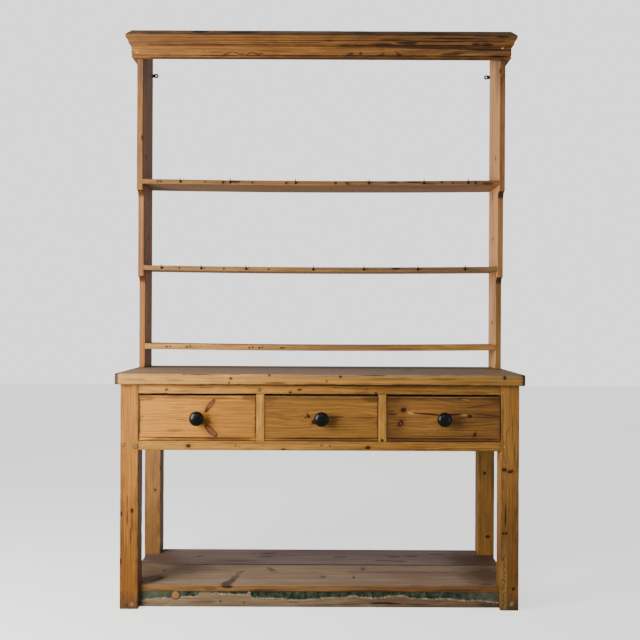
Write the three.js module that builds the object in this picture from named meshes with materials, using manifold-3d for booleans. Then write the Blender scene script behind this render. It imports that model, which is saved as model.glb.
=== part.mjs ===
// Welsh dresser: an open plate rack that stands on a base with three drawers and a pot board.
// Millimetres, +Z up, +Y towards the wall. The origin is on the floor, in the middle of the
// overall width and depth.

import * as THREE from 'three';
import { mergeVertices } from 'three/addons/utils/BufferGeometryUtils.js';
import Module from 'manifold-3d';

const wasm = await Module();
wasm.setup();

// Overall sizes
const caseWidth = 1388; // across the outer faces of the legs
const caseDepth = 454; // front of the front legs to the back of the back legs
const worktopHeight = 820;
const overallHeight = 2105;

// Clearances that every joint shares
const jointGap = 0.3; // round each tenon, tongue, tail and spigot
const overrun = 5; // how far a cutter runs past what it cuts

// Steps along curved edges
const edgeSteps = 4;
const mouldingSteps = 6;
const coveSteps = 8;
const sagSteps = 14;
const knobSteps = 5;
const knobSides = 28;
const plateSides = 24;

// Legs
const legWidth = 64;
const legEdgeRadius = 3;

// Mortise and tenon joints
const tenonLength = 30;
const tenonShoulder = 4;
const stubLength = 12; // kickboard and divider tenons

// Worktop, two boards edge to edge
const worktopThickness = 37.5;
const worktopEndOverhang = 17.5;
const worktopFrontOverhang = 18;
const worktopTopRadius = 7;
const worktopUnderRadius = 4;
const worktopCornerRadius = 9;
const worktopSeamGap = 1;

// Front frame round the drawers
const frontRailDepth = 40;
const topRailHeight = 32.5;
const drawerRailHeight = 32;
const drawerOpeningHeight = 164.5;
const dividerWidth = 28;
const railTenonThickness = 12;
const dividerCentreShares = [0.3357, 0.673]; // along the clear width between the legs

// End and back panels
const panelThickness = 20;
const panelInset = 10; // from the outer faces of the legs
const tongueLength = 10;
const tongueThickness = 10;
const tongueShoulder = 12;
const backPanelThickness = 16;
const backPanelInset = 8;
const backTongueThickness = 8;

// Drawer runners, guides and kickers
const runnerHeight = 22;
const runnerReach = 36; // from the line of a leg or divider under the drawer
const guideHeight = 26;
const guideEndGap = 1;

// Pot board and the rails that carry it
const potBoardTop = 78;
const potBoardThickness = 22;
const potBoardSetback = 20; // from the front of the legs
const potBoardSeamShare = 0.558; // of the case depth
const potBoardSeamGap = 1;
const potBoardNotchGap = 0.5;
const kickboardThickness = 20;
const kickboardSetback = 22;
const kickboardFloorGap = 2;
const kickboardTenonThickness = 10;
const lowRailThickness = 24;
const lowRailHeight = 46;
const lowRailTenonThickness = 12;
const lowBackRailInset = 10;

// Drawers
const drawerTopGap = 5;
const drawerBottomGap = 1;
const drawerEndGap = 1;
const drawerRunGap = 0.3;
const drawerRearGap = 18;
const drawerFrontThickness = 22;
const drawerSideThickness = 12;
const drawerSideDrop = 8; // from the top of the front to the top of the sides
const drawerBackThickness = 10;
const drawerBackDrop = 6; // from the top of the sides to the top of the back
const drawerBottomThickness = 8;
const drawerBottomRise = 7;
const drawerGrooveDepth = 5;
const drawerFrontLap = 5; // wood left in front of the tails
const frontTailCount = 4;
const backTailCount = 3;
const tailRootShare = 0.56; // of the spacing of the tails
const tailSlopeShare = 0.16; // of the length of a tail, on each side
const beadHeight = 9;
const beadQuirkWidth = 2.2;
const beadQuirkDepth = 3;
const topLineDrop = 6;
const topLineWidth = 1.6;
const topLineDepth = 1;

// Turned knobs
const knobRadius = 25.5;
const knobProjection = 38;
const knobFootRadius = 15;
const knobNeckRadius = 10.5;
const knobFootHeight = 4;
const knobNeckHeight = 13;
const knobUnderRadius = 20;
const knobUnderHeight = 17;
const knobRimHeight = 24;
const knobSpigotRadius = 7.5;

// Plate rack
const rackEndInset = 8.5; // from the end of the worktop
const rackSideThickness = 22;
const rackTopDepth = 185;
const rackStepDepth = 27;
const coveHeight = 28;
const coveQuirk = 3;
const stepDrop = 24; // from the underside of a shelf to the step below it
const potShelfRise = 72;
const potShelfThickness = 22;
const shelfThickness = 18;
const lowerBayHeight = 284;
const middleBayHeight = 310;
const shelfBackSetback = 8;
const shelfHousing = 8;
const shelfHousingStop = 12;
const shelfSag = 5; // the shelves have sunk this much in the middle

// Frieze and cornice
const friezeThickness = 18;
const friezeHeight = 83;
const friezeBeadRadius = 5;
const friezeQuirk = 2;
const crownHeight = 38;
const crownProjection = 19;
const crownFoot = 3;
const crownFootHeight = 4;
const crownFilletHeight = 10;
const crownStep = 2;
const roofThickness = 22;
const roofBevel = 20;
const mitreGap = 0.2;

// Iron wall plates let into the back of the rack
const plateThickness = 2.5;
const plateWidth = 17;
const plateHeight = 52;
const plateEyeRadius = 9;
const plateEyeReach = 13.5; // from the inner face of the rack side
const plateHoleRadius = 3.25;
const plateNeckHeight = 14;
const plateScrewRadius = 2.2;
const plateScrewSpacing = 34;
const plateDrop = 91; // from the top of the rack side to the eye

// Places worked out from the sizes
const caseHalf = caseWidth / 2;
const legInner = caseHalf - legWidth;
const legHeight = worktopHeight - worktopThickness;
const openingTop = legHeight - topRailHeight;
const openingBottom = openingTop - drawerOpeningHeight;
const apronBottom = openingBottom - drawerRailHeight;
const clearWidth = 2 * legInner;
const dividerCentres = dividerCentreShares.map((share) => clearWidth * share - legInner);
const panelOuter = caseHalf - panelInset;
const panelInner = panelOuter - panelThickness;
const backPanelRear = caseDepth - backPanelInset;
const backPanelFront = backPanelRear - backPanelThickness;
const backLegFront = caseDepth - legWidth;
const potBoardUnder = potBoardTop - potBoardThickness;
const worktopHalf = caseHalf + worktopEndOverhang;
const rackHalf = worktopHalf - rackEndInset;
const rackInner = rackHalf - rackSideThickness;
const rackMiddleDepth = rackTopDepth - rackStepDepth;
const rackLowDepth = rackMiddleDepth - rackStepDepth;
const rackHeight = overallHeight - worktopHeight - roofThickness;
const potShelfTop = potShelfRise + potShelfThickness;
const middleShelfUnder = potShelfTop + lowerBayHeight;
const topShelfUnder = middleShelfUnder + shelfThickness + middleBayHeight;
const frontReach = Math.max(knobProjection, worktopFrontOverhang);
const caseFrontY = frontReach - (frontReach + caseDepth) / 2;

// Helpers for solids

function toSolid(geometry) {
  const bare = geometry.clone();
  bare.deleteAttribute('normal');
  bare.deleteAttribute('uv');
  const merged = mergeVertices(bare);
  const corners = merged.index.array;
  const kept = [];
  for (let i = 0; i < corners.length; i += 3) {
    const [a, b, c] = [corners[i], corners[i + 1], corners[i + 2]];
    if (a !== b && b !== c && c !== a) kept.push(a, b, c);
  }
  const vertProperties = new Float32Array(merged.attributes.position.array);
  return new wasm.Manifold(new wasm.Mesh({ numProp: 3, vertProperties, triVerts: new Uint32Array(kept) }));
}

function toGeometry(solid) {
  const mesh = solid.getMesh();
  const geometry = new THREE.BufferGeometry();
  geometry.setAttribute('position', new THREE.BufferAttribute(new Float32Array(mesh.vertProperties), 3));
  geometry.setIndex(new THREE.BufferAttribute(new Uint32Array(mesh.triVerts), 1));
  geometry.computeVertexNormals();
  return geometry;
}

function middle([low, high]) {
  return (low + high) / 2;
}

// A box between named limits, grown on every side by the clearance.
function block({ x, y, z }, clearance = 0) {
  const [width, depth, height] = [x, y, z].map(([low, high]) => high - low + 2 * clearance);
  const geometry = new THREE.BoxGeometry(width, depth, height);
  geometry.translate(middle(x), middle(y), middle(z));
  return toSolid(geometry);
}

function cutAll(solid, cutters) {
  return cutters.reduce((rest, cutter) => rest.subtract(cutter), solid);
}

function polygon(points) {
  return new THREE.Shape(points.map(([u, v]) => new THREE.Vector2(u, v)));
}

// The same outline with its curves cut into straight steps.
function stepped(shape, steps) {
  return new THREE.Shape(shape.extractPoints(steps).shape);
}

const up = new THREE.Vector3(0, 0, 1);

// Sweeps an outline along a straight line: its first axis points to outward, its second up,
// and it runs from start along outward x up.
function sweep(shape, outward, start, length) {
  const along = new THREE.Vector3().crossVectors(outward, up);
  const geometry = new THREE.ExtrudeGeometry(shape, { depth: length, bevelEnabled: false });
  const turn = new THREE.Matrix4().makeBasis(outward, up, along);
  geometry.applyMatrix4(turn.setPosition(start));
  return toSolid(geometry);
}

function plate(shape, low, high) {
  const geometry = new THREE.ExtrudeGeometry(shape, { depth: high - low, bevelEnabled: false });
  return toSolid(geometry.translate(0, 0, low));
}

const towardsRight = new THREE.Vector3(1, 0, 0);
const towardsLeft = new THREE.Vector3(-1, 0, 0);
const towardsFront = new THREE.Vector3(0, -1, 0);
const towardsBack = new THREE.Vector3(0, 1, 0);

// Outline in depth and height, swept across the width from one limit to the other.
function acrossWidth(shape, [left, right]) {
  return sweep(shape, towardsBack, new THREE.Vector3(left, 0, 0), right - left);
}

// Outline in width and height, swept from the back limit to the front one.
function acrossDepth(shape, [front, back]) {
  return sweep(shape, towardsRight, new THREE.Vector3(0, back, 0), back - front);
}

function cylinder(radius, x, [front, back], z, sides) {
  const geometry = new THREE.CylinderGeometry(radius, radius, back - front, sides);
  geometry.translate(0, middle([front, back]), 0);
  return toSolid(geometry).translate([x, 0, z]);
}

// Finishes
const finishes = {
  pine: { color: 0xb98549, roughness: 0.5, metalness: 0 },
  darkPine: { color: 0x8d6238, roughness: 0.55, metalness: 0 },
  worktopPine: { color: 0x94775a, roughness: 0.45, metalness: 0 },
  rawPine: { color: 0xb49a74, roughness: 0.8, metalness: 0 },
  roofPine: { color: 0x54402e, roughness: 0.8, metalness: 0 },
  oldPaint: { color: 0x5d5f48, roughness: 0.85, metalness: 0 },
  ebonised: { color: 0x14110f, roughness: 0.2, metalness: 0 },
  iron: { color: 0x2b2826, roughness: 0.6, metalness: 0.8 },
};

function piece(name, solid, finish) {
  const mesh = new THREE.Mesh(toGeometry(solid), new THREE.MeshStandardMaterial(finishes[finish]));
  mesh.name = name;
  return mesh;
}

// A board with a tenon at each end. along is the axis of its length, thin the axis of its
// thickness; the tenon is thinner, and its shoulders stand back along the third axis.
function tenonedBoard(body, along, thin, length, thickness, shoulder) {
  const wide = ['x', 'y', 'z'].find((axis) => axis !== along && axis !== thin);
  const spine = {
    [along]: [body[along][0] - length, body[along][1] + length],
    [thin]: [middle(body[thin]) - thickness / 2, middle(body[thin]) + thickness / 2],
    [wide]: [body[wide][0] + shoulder, body[wide][1] - shoulder],
  };
  return { solid: block(body).add(block(spine)), spine };
}

// Base: the boards between the legs. y starts at the front faces of the legs.
const between = [-legInner, legInner];
const topRail = tenonedBoard(
  { x: between, y: [0, frontRailDepth], z: [openingTop, legHeight] },
  'x', 'y', tenonLength, railTenonThickness, tenonShoulder,
);
const drawerRail = tenonedBoard(
  { x: between, y: [0, frontRailDepth], z: [apronBottom, openingBottom] },
  'x', 'y', tenonLength, railTenonThickness, tenonShoulder,
);
const kickboard = tenonedBoard(
  {
    x: between,
    y: [kickboardSetback, kickboardSetback + kickboardThickness],
    z: [kickboardFloorGap, potBoardUnder],
  },
  'x', 'y', stubLength, kickboardTenonThickness, tenonShoulder,
);
const lowBackRail = tenonedBoard(
  {
    x: between,
    y: [caseDepth - lowBackRailInset - lowRailThickness, caseDepth - lowBackRailInset],
    z: [potBoardUnder - lowRailHeight, potBoardUnder],
  },
  'x', 'y', tenonLength, lowRailTenonThickness, tenonShoulder,
);
const backPanel = tenonedBoard(
  { x: between, y: [backPanelFront, backPanelRear], z: [apronBottom, legHeight] },
  'x', 'y', tongueLength, backTongueThickness, tongueShoulder,
);

function mirrored([low, high], side) {
  return side > 0 ? [low, high] : [-high, -low];
}

function lowSideRail(side) {
  const body = {
    x: mirrored([panelOuter - lowRailThickness, panelOuter], side),
    y: [legWidth, backLegFront],
    z: [potBoardUnder - lowRailHeight, potBoardUnder],
  };
  return tenonedBoard(body, 'y', 'x', tenonLength, lowRailTenonThickness, tenonShoulder);
}

function endPanel(side) {
  const body = {
    x: mirrored([panelInner, panelOuter], side),
    y: [legWidth, backLegFront],
    z: [apronBottom, legHeight],
  };
  return tenonedBoard(body, 'y', 'x', tongueLength, tongueThickness, tongueShoulder);
}

function divider(centre) {
  const body = {
    x: [centre - dividerWidth / 2, centre + dividerWidth / 2],
    y: [0, frontRailDepth],
    z: [openingBottom, openingTop],
  };
  return tenonedBoard(body, 'z', 'x', stubLength, railTenonThickness, tenonShoulder);
}

const sideNames = [['left', -1], ['right', 1]];
const lowSideRails = sideNames.map(([, side]) => lowSideRail(side));
const endPanels = sideNames.map(([, side]) => endPanel(side));
const dividers = dividerCentres.map(divider);

// Every tenon cuts its own mortise out of the legs.
const legTenons = [topRail, drawerRail, kickboard, lowBackRail, backPanel, ...lowSideRails, ...endPanels];

function roundedRectangle(width, depth, radius) {
  const [x, y] = [width / 2, depth / 2];
  const shape = new THREE.Shape();
  shape.absarc(x - radius, radius - y, radius, -Math.PI / 2, 0);
  shape.absarc(x - radius, y - radius, radius, 0, Math.PI / 2);
  shape.absarc(radius - x, y - radius, radius, Math.PI / 2, Math.PI);
  shape.absarc(radius - x, radius - y, radius, Math.PI, 1.5 * Math.PI);
  return shape;
}

function leg(side, front) {
  const outline = stepped(roundedRectangle(legWidth, legWidth, legEdgeRadius), edgeSteps);
  const centre = [side * (caseHalf - legWidth / 2), front + legWidth / 2, 0];
  const post = plate(outline, 0, legHeight).translate(centre);
  return cutAll(post, legTenons.map(({ spine }) => block(spine, jointGap)));
}

function railWithDividerMortises(rail) {
  return cutAll(rail.solid, dividers.map(({ spine }) => block(spine, jointGap)));
}

// The front board of the worktop has a rounded edge and worn corners.
function worktopFront(seam) {
  const section = new THREE.Shape();
  section.moveTo(seam - worktopSeamGap / 2, 0);
  section.lineTo(seam - worktopSeamGap / 2, worktopThickness);
  const topCentre = [worktopTopRadius - worktopFrontOverhang, worktopThickness - worktopTopRadius];
  section.absarc(...topCentre, worktopTopRadius, Math.PI / 2, Math.PI);
  const underCentre = [worktopUnderRadius - worktopFrontOverhang, worktopUnderRadius];
  section.absarc(...underCentre, worktopUnderRadius, Math.PI, 1.5 * Math.PI);
  const run = acrossWidth(stepped(section, edgeSteps), [-worktopHalf, worktopHalf]);
  const plan = new THREE.Shape();
  const reach = worktopHalf - worktopCornerRadius;
  const frontCentre = worktopCornerRadius - worktopFrontOverhang;
  plan.moveTo(worktopHalf, caseDepth);
  plan.lineTo(-worktopHalf, caseDepth);
  plan.absarc(-reach, frontCentre, worktopCornerRadius, Math.PI, 1.5 * Math.PI);
  plan.absarc(reach, frontCentre, worktopCornerRadius, -Math.PI / 2, 0);
  const corners = plate(stepped(plan, edgeSteps), -overrun, worktopThickness + overrun);
  return run.intersect(corners).translate([0, 0, legHeight]);
}

function worktopRear(seam) {
  return block({
    x: [-worktopHalf, worktopHalf],
    y: [seam + worktopSeamGap / 2, caseDepth],
    z: [legHeight, worktopHeight],
  });
}

// Pot board: two boards notched round the legs, lying on the low rails.
function potBoardFront(seam) {
  const [wide, narrow] = [panelOuter, legInner - potBoardNotchGap];
  const [front, rear] = [potBoardSetback, seam - potBoardSeamGap / 2];
  const shoulder = legWidth + potBoardNotchGap;
  const outline = polygon([
    [-narrow, front], [narrow, front], [narrow, shoulder], [wide, shoulder],
    [wide, rear], [-wide, rear], [-wide, shoulder], [-narrow, shoulder],
  ]);
  return plate(outline, potBoardUnder, potBoardTop);
}

function potBoardRear(seam) {
  const [wide, narrow] = [panelOuter, legInner - potBoardNotchGap];
  const [front, rear] = [seam + potBoardSeamGap / 2, caseDepth];
  const shoulder = backLegFront - potBoardNotchGap;
  const outline = polygon([
    [-wide, front], [wide, front], [wide, shoulder], [narrow, shoulder],
    [narrow, rear], [-narrow, rear], [-narrow, shoulder], [-wide, shoulder],
  ]);
  return plate(outline, potBoardUnder, potBoardTop);
}

// Runners under the drawer sides, each with the guide that keeps the drawers straight.
// Those at the ends reach out to the end panels between the legs.
const runnerSpan = {
  y: [frontRailDepth, backPanelFront],
  z: [openingBottom - runnerHeight, openingBottom],
};
const guideSpan = [legWidth + guideEndGap, backLegFront - guideEndGap];

function endRunner(side) {
  const strip = block({ x: mirrored([legInner - runnerReach, legInner], side), ...runnerSpan });
  const packing = block({
    x: mirrored([legInner - overrun, panelInner], side),
    y: guideSpan,
    z: runnerSpan.z,
  });
  const guide = block({
    x: mirrored([legInner, panelInner], side),
    y: guideSpan,
    z: [openingBottom - overrun, openingBottom + guideHeight],
  });
  return strip.add(packing).add(guide);
}

function middleRunner(centre) {
  const reach = dividerWidth / 2 + runnerReach;
  const strip = block({ x: [centre - reach, centre + reach], ...runnerSpan });
  const guide = block({
    x: [centre - dividerWidth / 2, centre + dividerWidth / 2],
    y: runnerSpan.y,
    z: [openingBottom - overrun, openingBottom + guideHeight],
  });
  return strip.add(guide);
}

function kicker(low, high) {
  return block({ x: [low, high], y: runnerSpan.y, z: [openingTop, legHeight] });
}

function makeBase() {
  const base = new THREE.Group();
  base.position.y = caseFrontY;
  const worktopSeam = caseDepth - rackLowDepth - worktopSeamGap;
  const potBoardSeam = caseDepth * potBoardSeamShare;
  base.add(
    piece('front_top_rail', railWithDividerMortises(topRail), 'pine'),
    piece('drawer_rail', railWithDividerMortises(drawerRail), 'pine'),
    piece('kickboard', kickboard.solid, 'oldPaint'),
    piece('low_back_rail', lowBackRail.solid, 'rawPine'),
    piece('back_panel', backPanel.solid, 'rawPine'),
    piece('worktop_front_board', worktopFront(worktopSeam), 'worktopPine'),
    piece('worktop_rear_board', worktopRear(worktopSeam), 'worktopPine'),
    piece('pot_board_front', potBoardFront(potBoardSeam), 'darkPine'),
    piece('pot_board_rear', potBoardRear(potBoardSeam), 'darkPine'),
  );
  sideNames.forEach(([name, side], i) => {
    base.add(
      piece(`leg_front_${name}`, leg(side, 0), 'pine'),
      piece(`leg_back_${name}`, leg(side, backLegFront), 'pine'),
      piece(`low_side_rail_${name}`, lowSideRails[i].solid, 'pine'),
      piece(`end_panel_${name}`, endPanels[i].solid, 'pine'),
      piece(`drawer_divider_${name}`, dividers[i].solid, 'pine'),
      piece(`runner_${name}_end`, endRunner(side), 'rawPine'),
      piece(`runner_${name}_middle`, middleRunner(dividerCentres[i]), 'rawPine'),
      piece(`kicker_${name}_end`, kicker(...mirrored([legInner - runnerReach, legInner], side)), 'rawPine'),
    );
    const reach = dividerWidth / 2 + runnerReach;
    const span = [dividerCentres[i] - reach, dividerCentres[i] + reach];
    base.add(piece(`kicker_${name}_middle`, kicker(...span), 'rawPine'));
  });
  return base;
}

// Drawers: dovetailed boxes. In each, y starts at the front face and z at the drawer rail.
const frontHeight = drawerOpeningHeight - drawerTopGap - drawerBottomGap;
const boxLow = drawerRunGap;
const boxHigh = drawerBottomGap + frontHeight - drawerSideDrop;
const boxLength = backPanelFront - drawerRearGap;
const panelLow = boxLow + drawerBottomRise;
const panelHigh = panelLow + drawerBottomThickness;
const backLow = panelHigh + jointGap;
const backHigh = boxHigh - drawerBackDrop;
const backFace = boxLength - drawerBackThickness;

// Points up one end of a drawer side: a row of tails that flare from root to tip.
function tailPoints(root, tip, [low, high], count, clearance) {
  const pitch = (high - low) / count;
  const rootHalf = (pitch * tailRootShare) / 2 + clearance;
  const tipHalf = rootHalf + Math.abs(tip - root) * tailSlopeShare;
  const reach = tip + Math.sign(tip - root) * clearance;
  const points = [];
  for (let i = 0; i < count; i += 1) {
    const centre = low + pitch * (i + 0.5);
    points.push([root, centre - rootHalf], [reach, centre - tipHalf]);
    points.push([reach, centre + tipHalf], [root, centre + rootHalf]);
  }
  return points;
}

function sideOutline(clearance) {
  const end = boxLength + clearance;
  const backEdge = [backLow + clearance, backHigh - clearance];
  const backTails = tailPoints(backFace, boxLength, [backLow, backHigh], backTailCount, clearance);
  const frontTails = tailPoints(
    drawerFrontThickness, drawerFrontLap, [boxLow, boxHigh], frontTailCount, clearance,
  );
  return polygon([
    [drawerFrontThickness, boxLow],
    [end, boxLow], [end, backEdge[0]], [backFace, backEdge[0]],
    ...backTails,
    [backFace, backEdge[1]], [end, backEdge[1]], [end, boxHigh],
    [drawerFrontThickness, boxHigh],
    ...frontTails.reverse(),
  ]);
}

// The front is one board with a bead scratched along its bottom edge and a line near its top.
function frontOutline() {
  const radius = beadHeight / 2;
  const low = drawerBottomGap;
  const high = low + frontHeight;
  const shape = new THREE.Shape();
  shape.moveTo(drawerFrontThickness, low);
  shape.lineTo(drawerFrontThickness, high);
  shape.lineTo(0, high);
  shape.lineTo(0, high - topLineDrop);
  shape.lineTo(topLineDepth, high - topLineDrop - topLineWidth / 2);
  shape.lineTo(0, high - topLineDrop - topLineWidth);
  shape.lineTo(0, low + beadHeight + beadQuirkWidth);
  shape.lineTo(beadQuirkDepth, low + beadHeight + beadQuirkWidth / 2);
  shape.lineTo(radius, low + beadHeight);
  shape.absarc(radius, low + radius, radius, Math.PI / 2, 1.5 * Math.PI);
  return stepped(shape, edgeSteps);
}

const grooveSpan = { y: [drawerFrontThickness - drawerGrooveDepth, boxLength], z: [panelLow, panelHigh] };

function drawerFront(half) {
  const board = acrossWidth(frontOutline(), [-half, half]);
  const tails = sideNames.map(([, side]) => {
    const span = mirrored([half - drawerSideThickness - jointGap, half + overrun], side);
    return acrossWidth(sideOutline(jointGap), span);
  });
  const grooveHalf = half - drawerSideThickness + drawerGrooveDepth;
  const groove = block({ x: [-grooveHalf, grooveHalf], ...grooveSpan }, jointGap);
  const knobZ = drawerBottomGap + frontHeight / 2;
  const bore = [-overrun, drawerFrontThickness + overrun];
  const hole = cylinder(knobSpigotRadius + jointGap, 0, bore, knobZ, knobSides);
  return cutAll(board, [...tails, groove, hole]);
}

function drawerSide(half, side) {
  const board = acrossWidth(sideOutline(0), mirrored([half - drawerSideThickness, half], side));
  const inner = half - drawerSideThickness;
  const groove = block({
    x: mirrored([inner - overrun, inner + drawerGrooveDepth], side),
    y: [grooveSpan.y[0] - overrun, grooveSpan.y[1] + overrun],
    z: [panelLow - jointGap, panelHigh + jointGap],
  });
  return board.subtract(groove);
}

function drawerBack(half) {
  const board = block({ x: [-half, half], y: [backFace, boxLength], z: [backLow, backHigh] });
  const tails = sideNames.map(([, side]) => {
    const span = mirrored([half - drawerSideThickness, half + overrun], side);
    return acrossWidth(sideOutline(jointGap), span);
  });
  return cutAll(board, tails);
}

function drawerBottom(half) {
  const reach = half - drawerSideThickness + drawerGrooveDepth - jointGap;
  return block({ x: [-reach, reach], ...grooveSpan });
}

// One turning: a spigot through the drawer front, a foot, a waist and a domed head.
function knob() {
  const profile = new THREE.Path();
  profile.moveTo(0, -drawerFrontThickness);
  profile.lineTo(knobSpigotRadius, -drawerFrontThickness);
  profile.lineTo(knobSpigotRadius, 0);
  profile.lineTo(knobFootRadius, 0);
  profile.lineTo(knobFootRadius, knobFootHeight / 2);
  profile.quadraticCurveTo(knobFootRadius, knobFootHeight, knobNeckRadius, knobFootHeight);
  profile.quadraticCurveTo(knobNeckRadius, knobNeckHeight, knobUnderRadius, knobUnderHeight);
  profile.quadraticCurveTo(knobRadius, knobUnderHeight, knobRadius, knobRimHeight);
  const domeHeight = knobProjection - knobRimHeight;
  profile.absellipse(0, knobRimHeight, knobRadius, domeHeight, 0, Math.PI / 2);
  const turned = new THREE.LatheGeometry(profile.getPoints(knobSteps), knobSides);
  return toSolid(turned.rotateX(Math.PI));
}

function makeDrawer(name, [left, right]) {
  const half = (right - left) / 2 - drawerEndGap;
  const drawer = new THREE.Group();
  drawer.position.set(middle([left, right]), caseFrontY, openingBottom);
  const handle = piece(`drawer_${name}_knob`, knob(), 'ebonised');
  handle.position.z = drawerBottomGap + frontHeight / 2;
  drawer.add(
    piece(`drawer_${name}_front`, drawerFront(half), 'pine'),
    piece(`drawer_${name}_side_left`, drawerSide(half, -1), 'rawPine'),
    piece(`drawer_${name}_side_right`, drawerSide(half, 1), 'rawPine'),
    piece(`drawer_${name}_back`, drawerBack(half), 'rawPine'),
    piece(`drawer_${name}_bottom`, drawerBottom(half), 'rawPine'),
    handle,
  );
  return drawer;
}

// Plate rack. In it, y is 0 at the wall and z starts at the worktop.
const shelves = [
  { name: 'shelf_bottom', under: potShelfRise, thickness: potShelfThickness, depth: rackLowDepth },
  { name: 'shelf_middle', under: middleShelfUnder, thickness: shelfThickness, depth: rackMiddleDepth },
  { name: 'shelf_top', under: topShelfUnder, thickness: shelfThickness, depth: rackTopDepth },
];

// Front edge of a rack side, upwards: two steps forward, each over a cove.
function rackSideOutline() {
  const shape = new THREE.Shape();
  shape.moveTo(0, 0);
  shape.lineTo(-rackLowDepth, 0);
  const steps = [
    [rackLowDepth, middleShelfUnder - stepDrop],
    [rackMiddleDepth, topShelfUnder - stepDrop],
  ];
  for (const [depth, level] of steps) {
    const coveReach = rackStepDepth - coveQuirk;
    const centre = [-depth - coveReach, level - coveHeight];
    shape.lineTo(-depth, level - coveHeight);
    shape.absellipse(...centre, coveReach, coveHeight, 0, Math.PI / 2);
    shape.lineTo(-depth - rackStepDepth, level);
  }
  shape.lineTo(-rackTopDepth, rackHeight);
  shape.lineTo(0, rackHeight);
  return stepped(shape, coveSteps);
}

function housing({ under, thickness, depth }, side) {
  return block({
    x: mirrored([rackInner - overrun, rackInner + shelfHousing], side),
    y: [-depth + shelfHousingStop, -shelfBackSetback],
    z: [under, under + thickness],
  }, jointGap);
}

const plateSpan = [-plateThickness, 0];
const plateEyeZ = rackHeight - plateDrop;

function plateRecess(side) {
  const centre = rackHalf - rackSideThickness / 2;
  return block({
    x: mirrored([rackInner - overrun, centre + plateWidth / 2], side),
    y: [-plateThickness, overrun],
    z: [plateEyeZ - plateHeight / 2, plateEyeZ + plateHeight / 2],
  }, jointGap);
}

function rackSide(side) {
  const board = acrossWidth(rackSideOutline(), mirrored([rackInner, rackHalf], side));
  const housings = shelves.map((shelf) => housing(shelf, side));
  return cutAll(board, [...housings, plateRecess(side)]);
}

// A shelf that has sunk in the middle, with its ends let into the rack sides.
function shelf({ under, thickness, depth }) {
  const reach = rackInner + shelfHousing - jointGap;
  const outline = new THREE.Shape();
  outline.moveTo(-reach, 0);
  outline.lineTo(-rackInner, 0);
  outline.quadraticCurveTo(0, -2 * shelfSag, rackInner, 0);
  outline.lineTo(reach, 0);
  outline.lineTo(reach, thickness);
  outline.lineTo(rackInner, thickness);
  outline.quadraticCurveTo(0, thickness - 2 * shelfSag, -rackInner, thickness);
  outline.lineTo(-reach, thickness);
  const board = acrossDepth(stepped(outline, sagSteps), [-depth, -shelfBackSetback])
    .translate([0, 0, under]);
  const notches = sideNames.map(([, side]) => block({
    x: mirrored([rackInner, reach + overrun], side),
    y: [-depth - overrun, -depth + shelfHousingStop + jointGap],
    z: [under - overrun, under + thickness + overrun],
  }));
  return cutAll(board, notches);
}

// Frieze: a board with a bead along its lower edge. Its outline starts at its back face.
function friezeOutline() {
  const shape = new THREE.Shape();
  const beadCentre = friezeThickness - friezeBeadRadius;
  const beadHigh = 2 * friezeBeadRadius;
  shape.moveTo(0, 0);
  shape.lineTo(beadCentre, 0);
  shape.absarc(beadCentre, friezeBeadRadius, friezeBeadRadius, -Math.PI / 2, Math.PI / 2);
  shape.lineTo(beadCentre, beadHigh + friezeQuirk);
  shape.lineTo(friezeThickness, beadHigh + friezeQuirk);
  shape.lineTo(friezeThickness, friezeHeight);
  shape.lineTo(0, friezeHeight);
  return stepped(shape, mouldingSteps);
}

// Crown moulding: a foot, a wave that swells and hollows outwards, a step and a flat fillet.
function crownOutline() {
  const shape = new THREE.Shape();
  const waveLow = [crownFoot, crownFootHeight];
  const waveHigh = [crownProjection - crownStep, crownHeight - crownFilletHeight];
  const waveMiddle = [middle([waveLow[0], waveHigh[0]]), middle([waveLow[1], waveHigh[1]])];
  shape.moveTo(0, 0);
  shape.lineTo(crownFoot, 0);
  shape.lineTo(...waveLow);
  shape.quadraticCurveTo(waveMiddle[0], waveLow[1], ...waveMiddle);
  shape.quadraticCurveTo(waveMiddle[0], waveHigh[1], ...waveHigh);
  shape.lineTo(crownProjection, waveHigh[1]);
  shape.lineTo(crownProjection, crownHeight);
  shape.lineTo(0, crownHeight);
  return stepped(shape, mouldingSteps);
}

// A moulding run round the front and both ends, mitred at the corners. inner is how far its
// back face stands out from the rack, thickness how far it stands out itself.
function mitredRun(outline, inner, thickness, under, high) {
  const [half, depth] = [rackHalf + inner, rackTopDepth + inner];
  const past = thickness + overrun;
  const [low, top] = [under - overrun, high + overrun];
  const frontPlan = polygon([
    [mitreGap - half, -depth], [mitreGap - half - past, -depth - past],
    [half + past - mitreGap, -depth - past], [half - mitreGap, -depth],
  ]);
  const rightPlan = polygon([
    [half, overrun], [half, -depth], [half + past, -depth - past], [half + past, overrun],
  ]);
  const leftPlan = polygon([
    [-half, overrun], [-half - past, overrun], [-half - past, -depth - past], [-half, -depth],
  ]);
  const frontStart = new THREE.Vector3(half + past, -depth, under);
  const leftStart = new THREE.Vector3(-half, -depth - past, under);
  const rightStart = new THREE.Vector3(half, 0, under);
  const front = sweep(outline, towardsFront, frontStart, 2 * (half + past));
  const left = sweep(outline, towardsLeft, leftStart, depth + past);
  const right = sweep(outline, towardsRight, rightStart, depth + past);
  return {
    front: front.intersect(plate(frontPlan, low, top)),
    left: left.intersect(plate(leftPlan, low, top)),
    right: right.intersect(plate(rightPlan, low, top)),
  };
}

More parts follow.
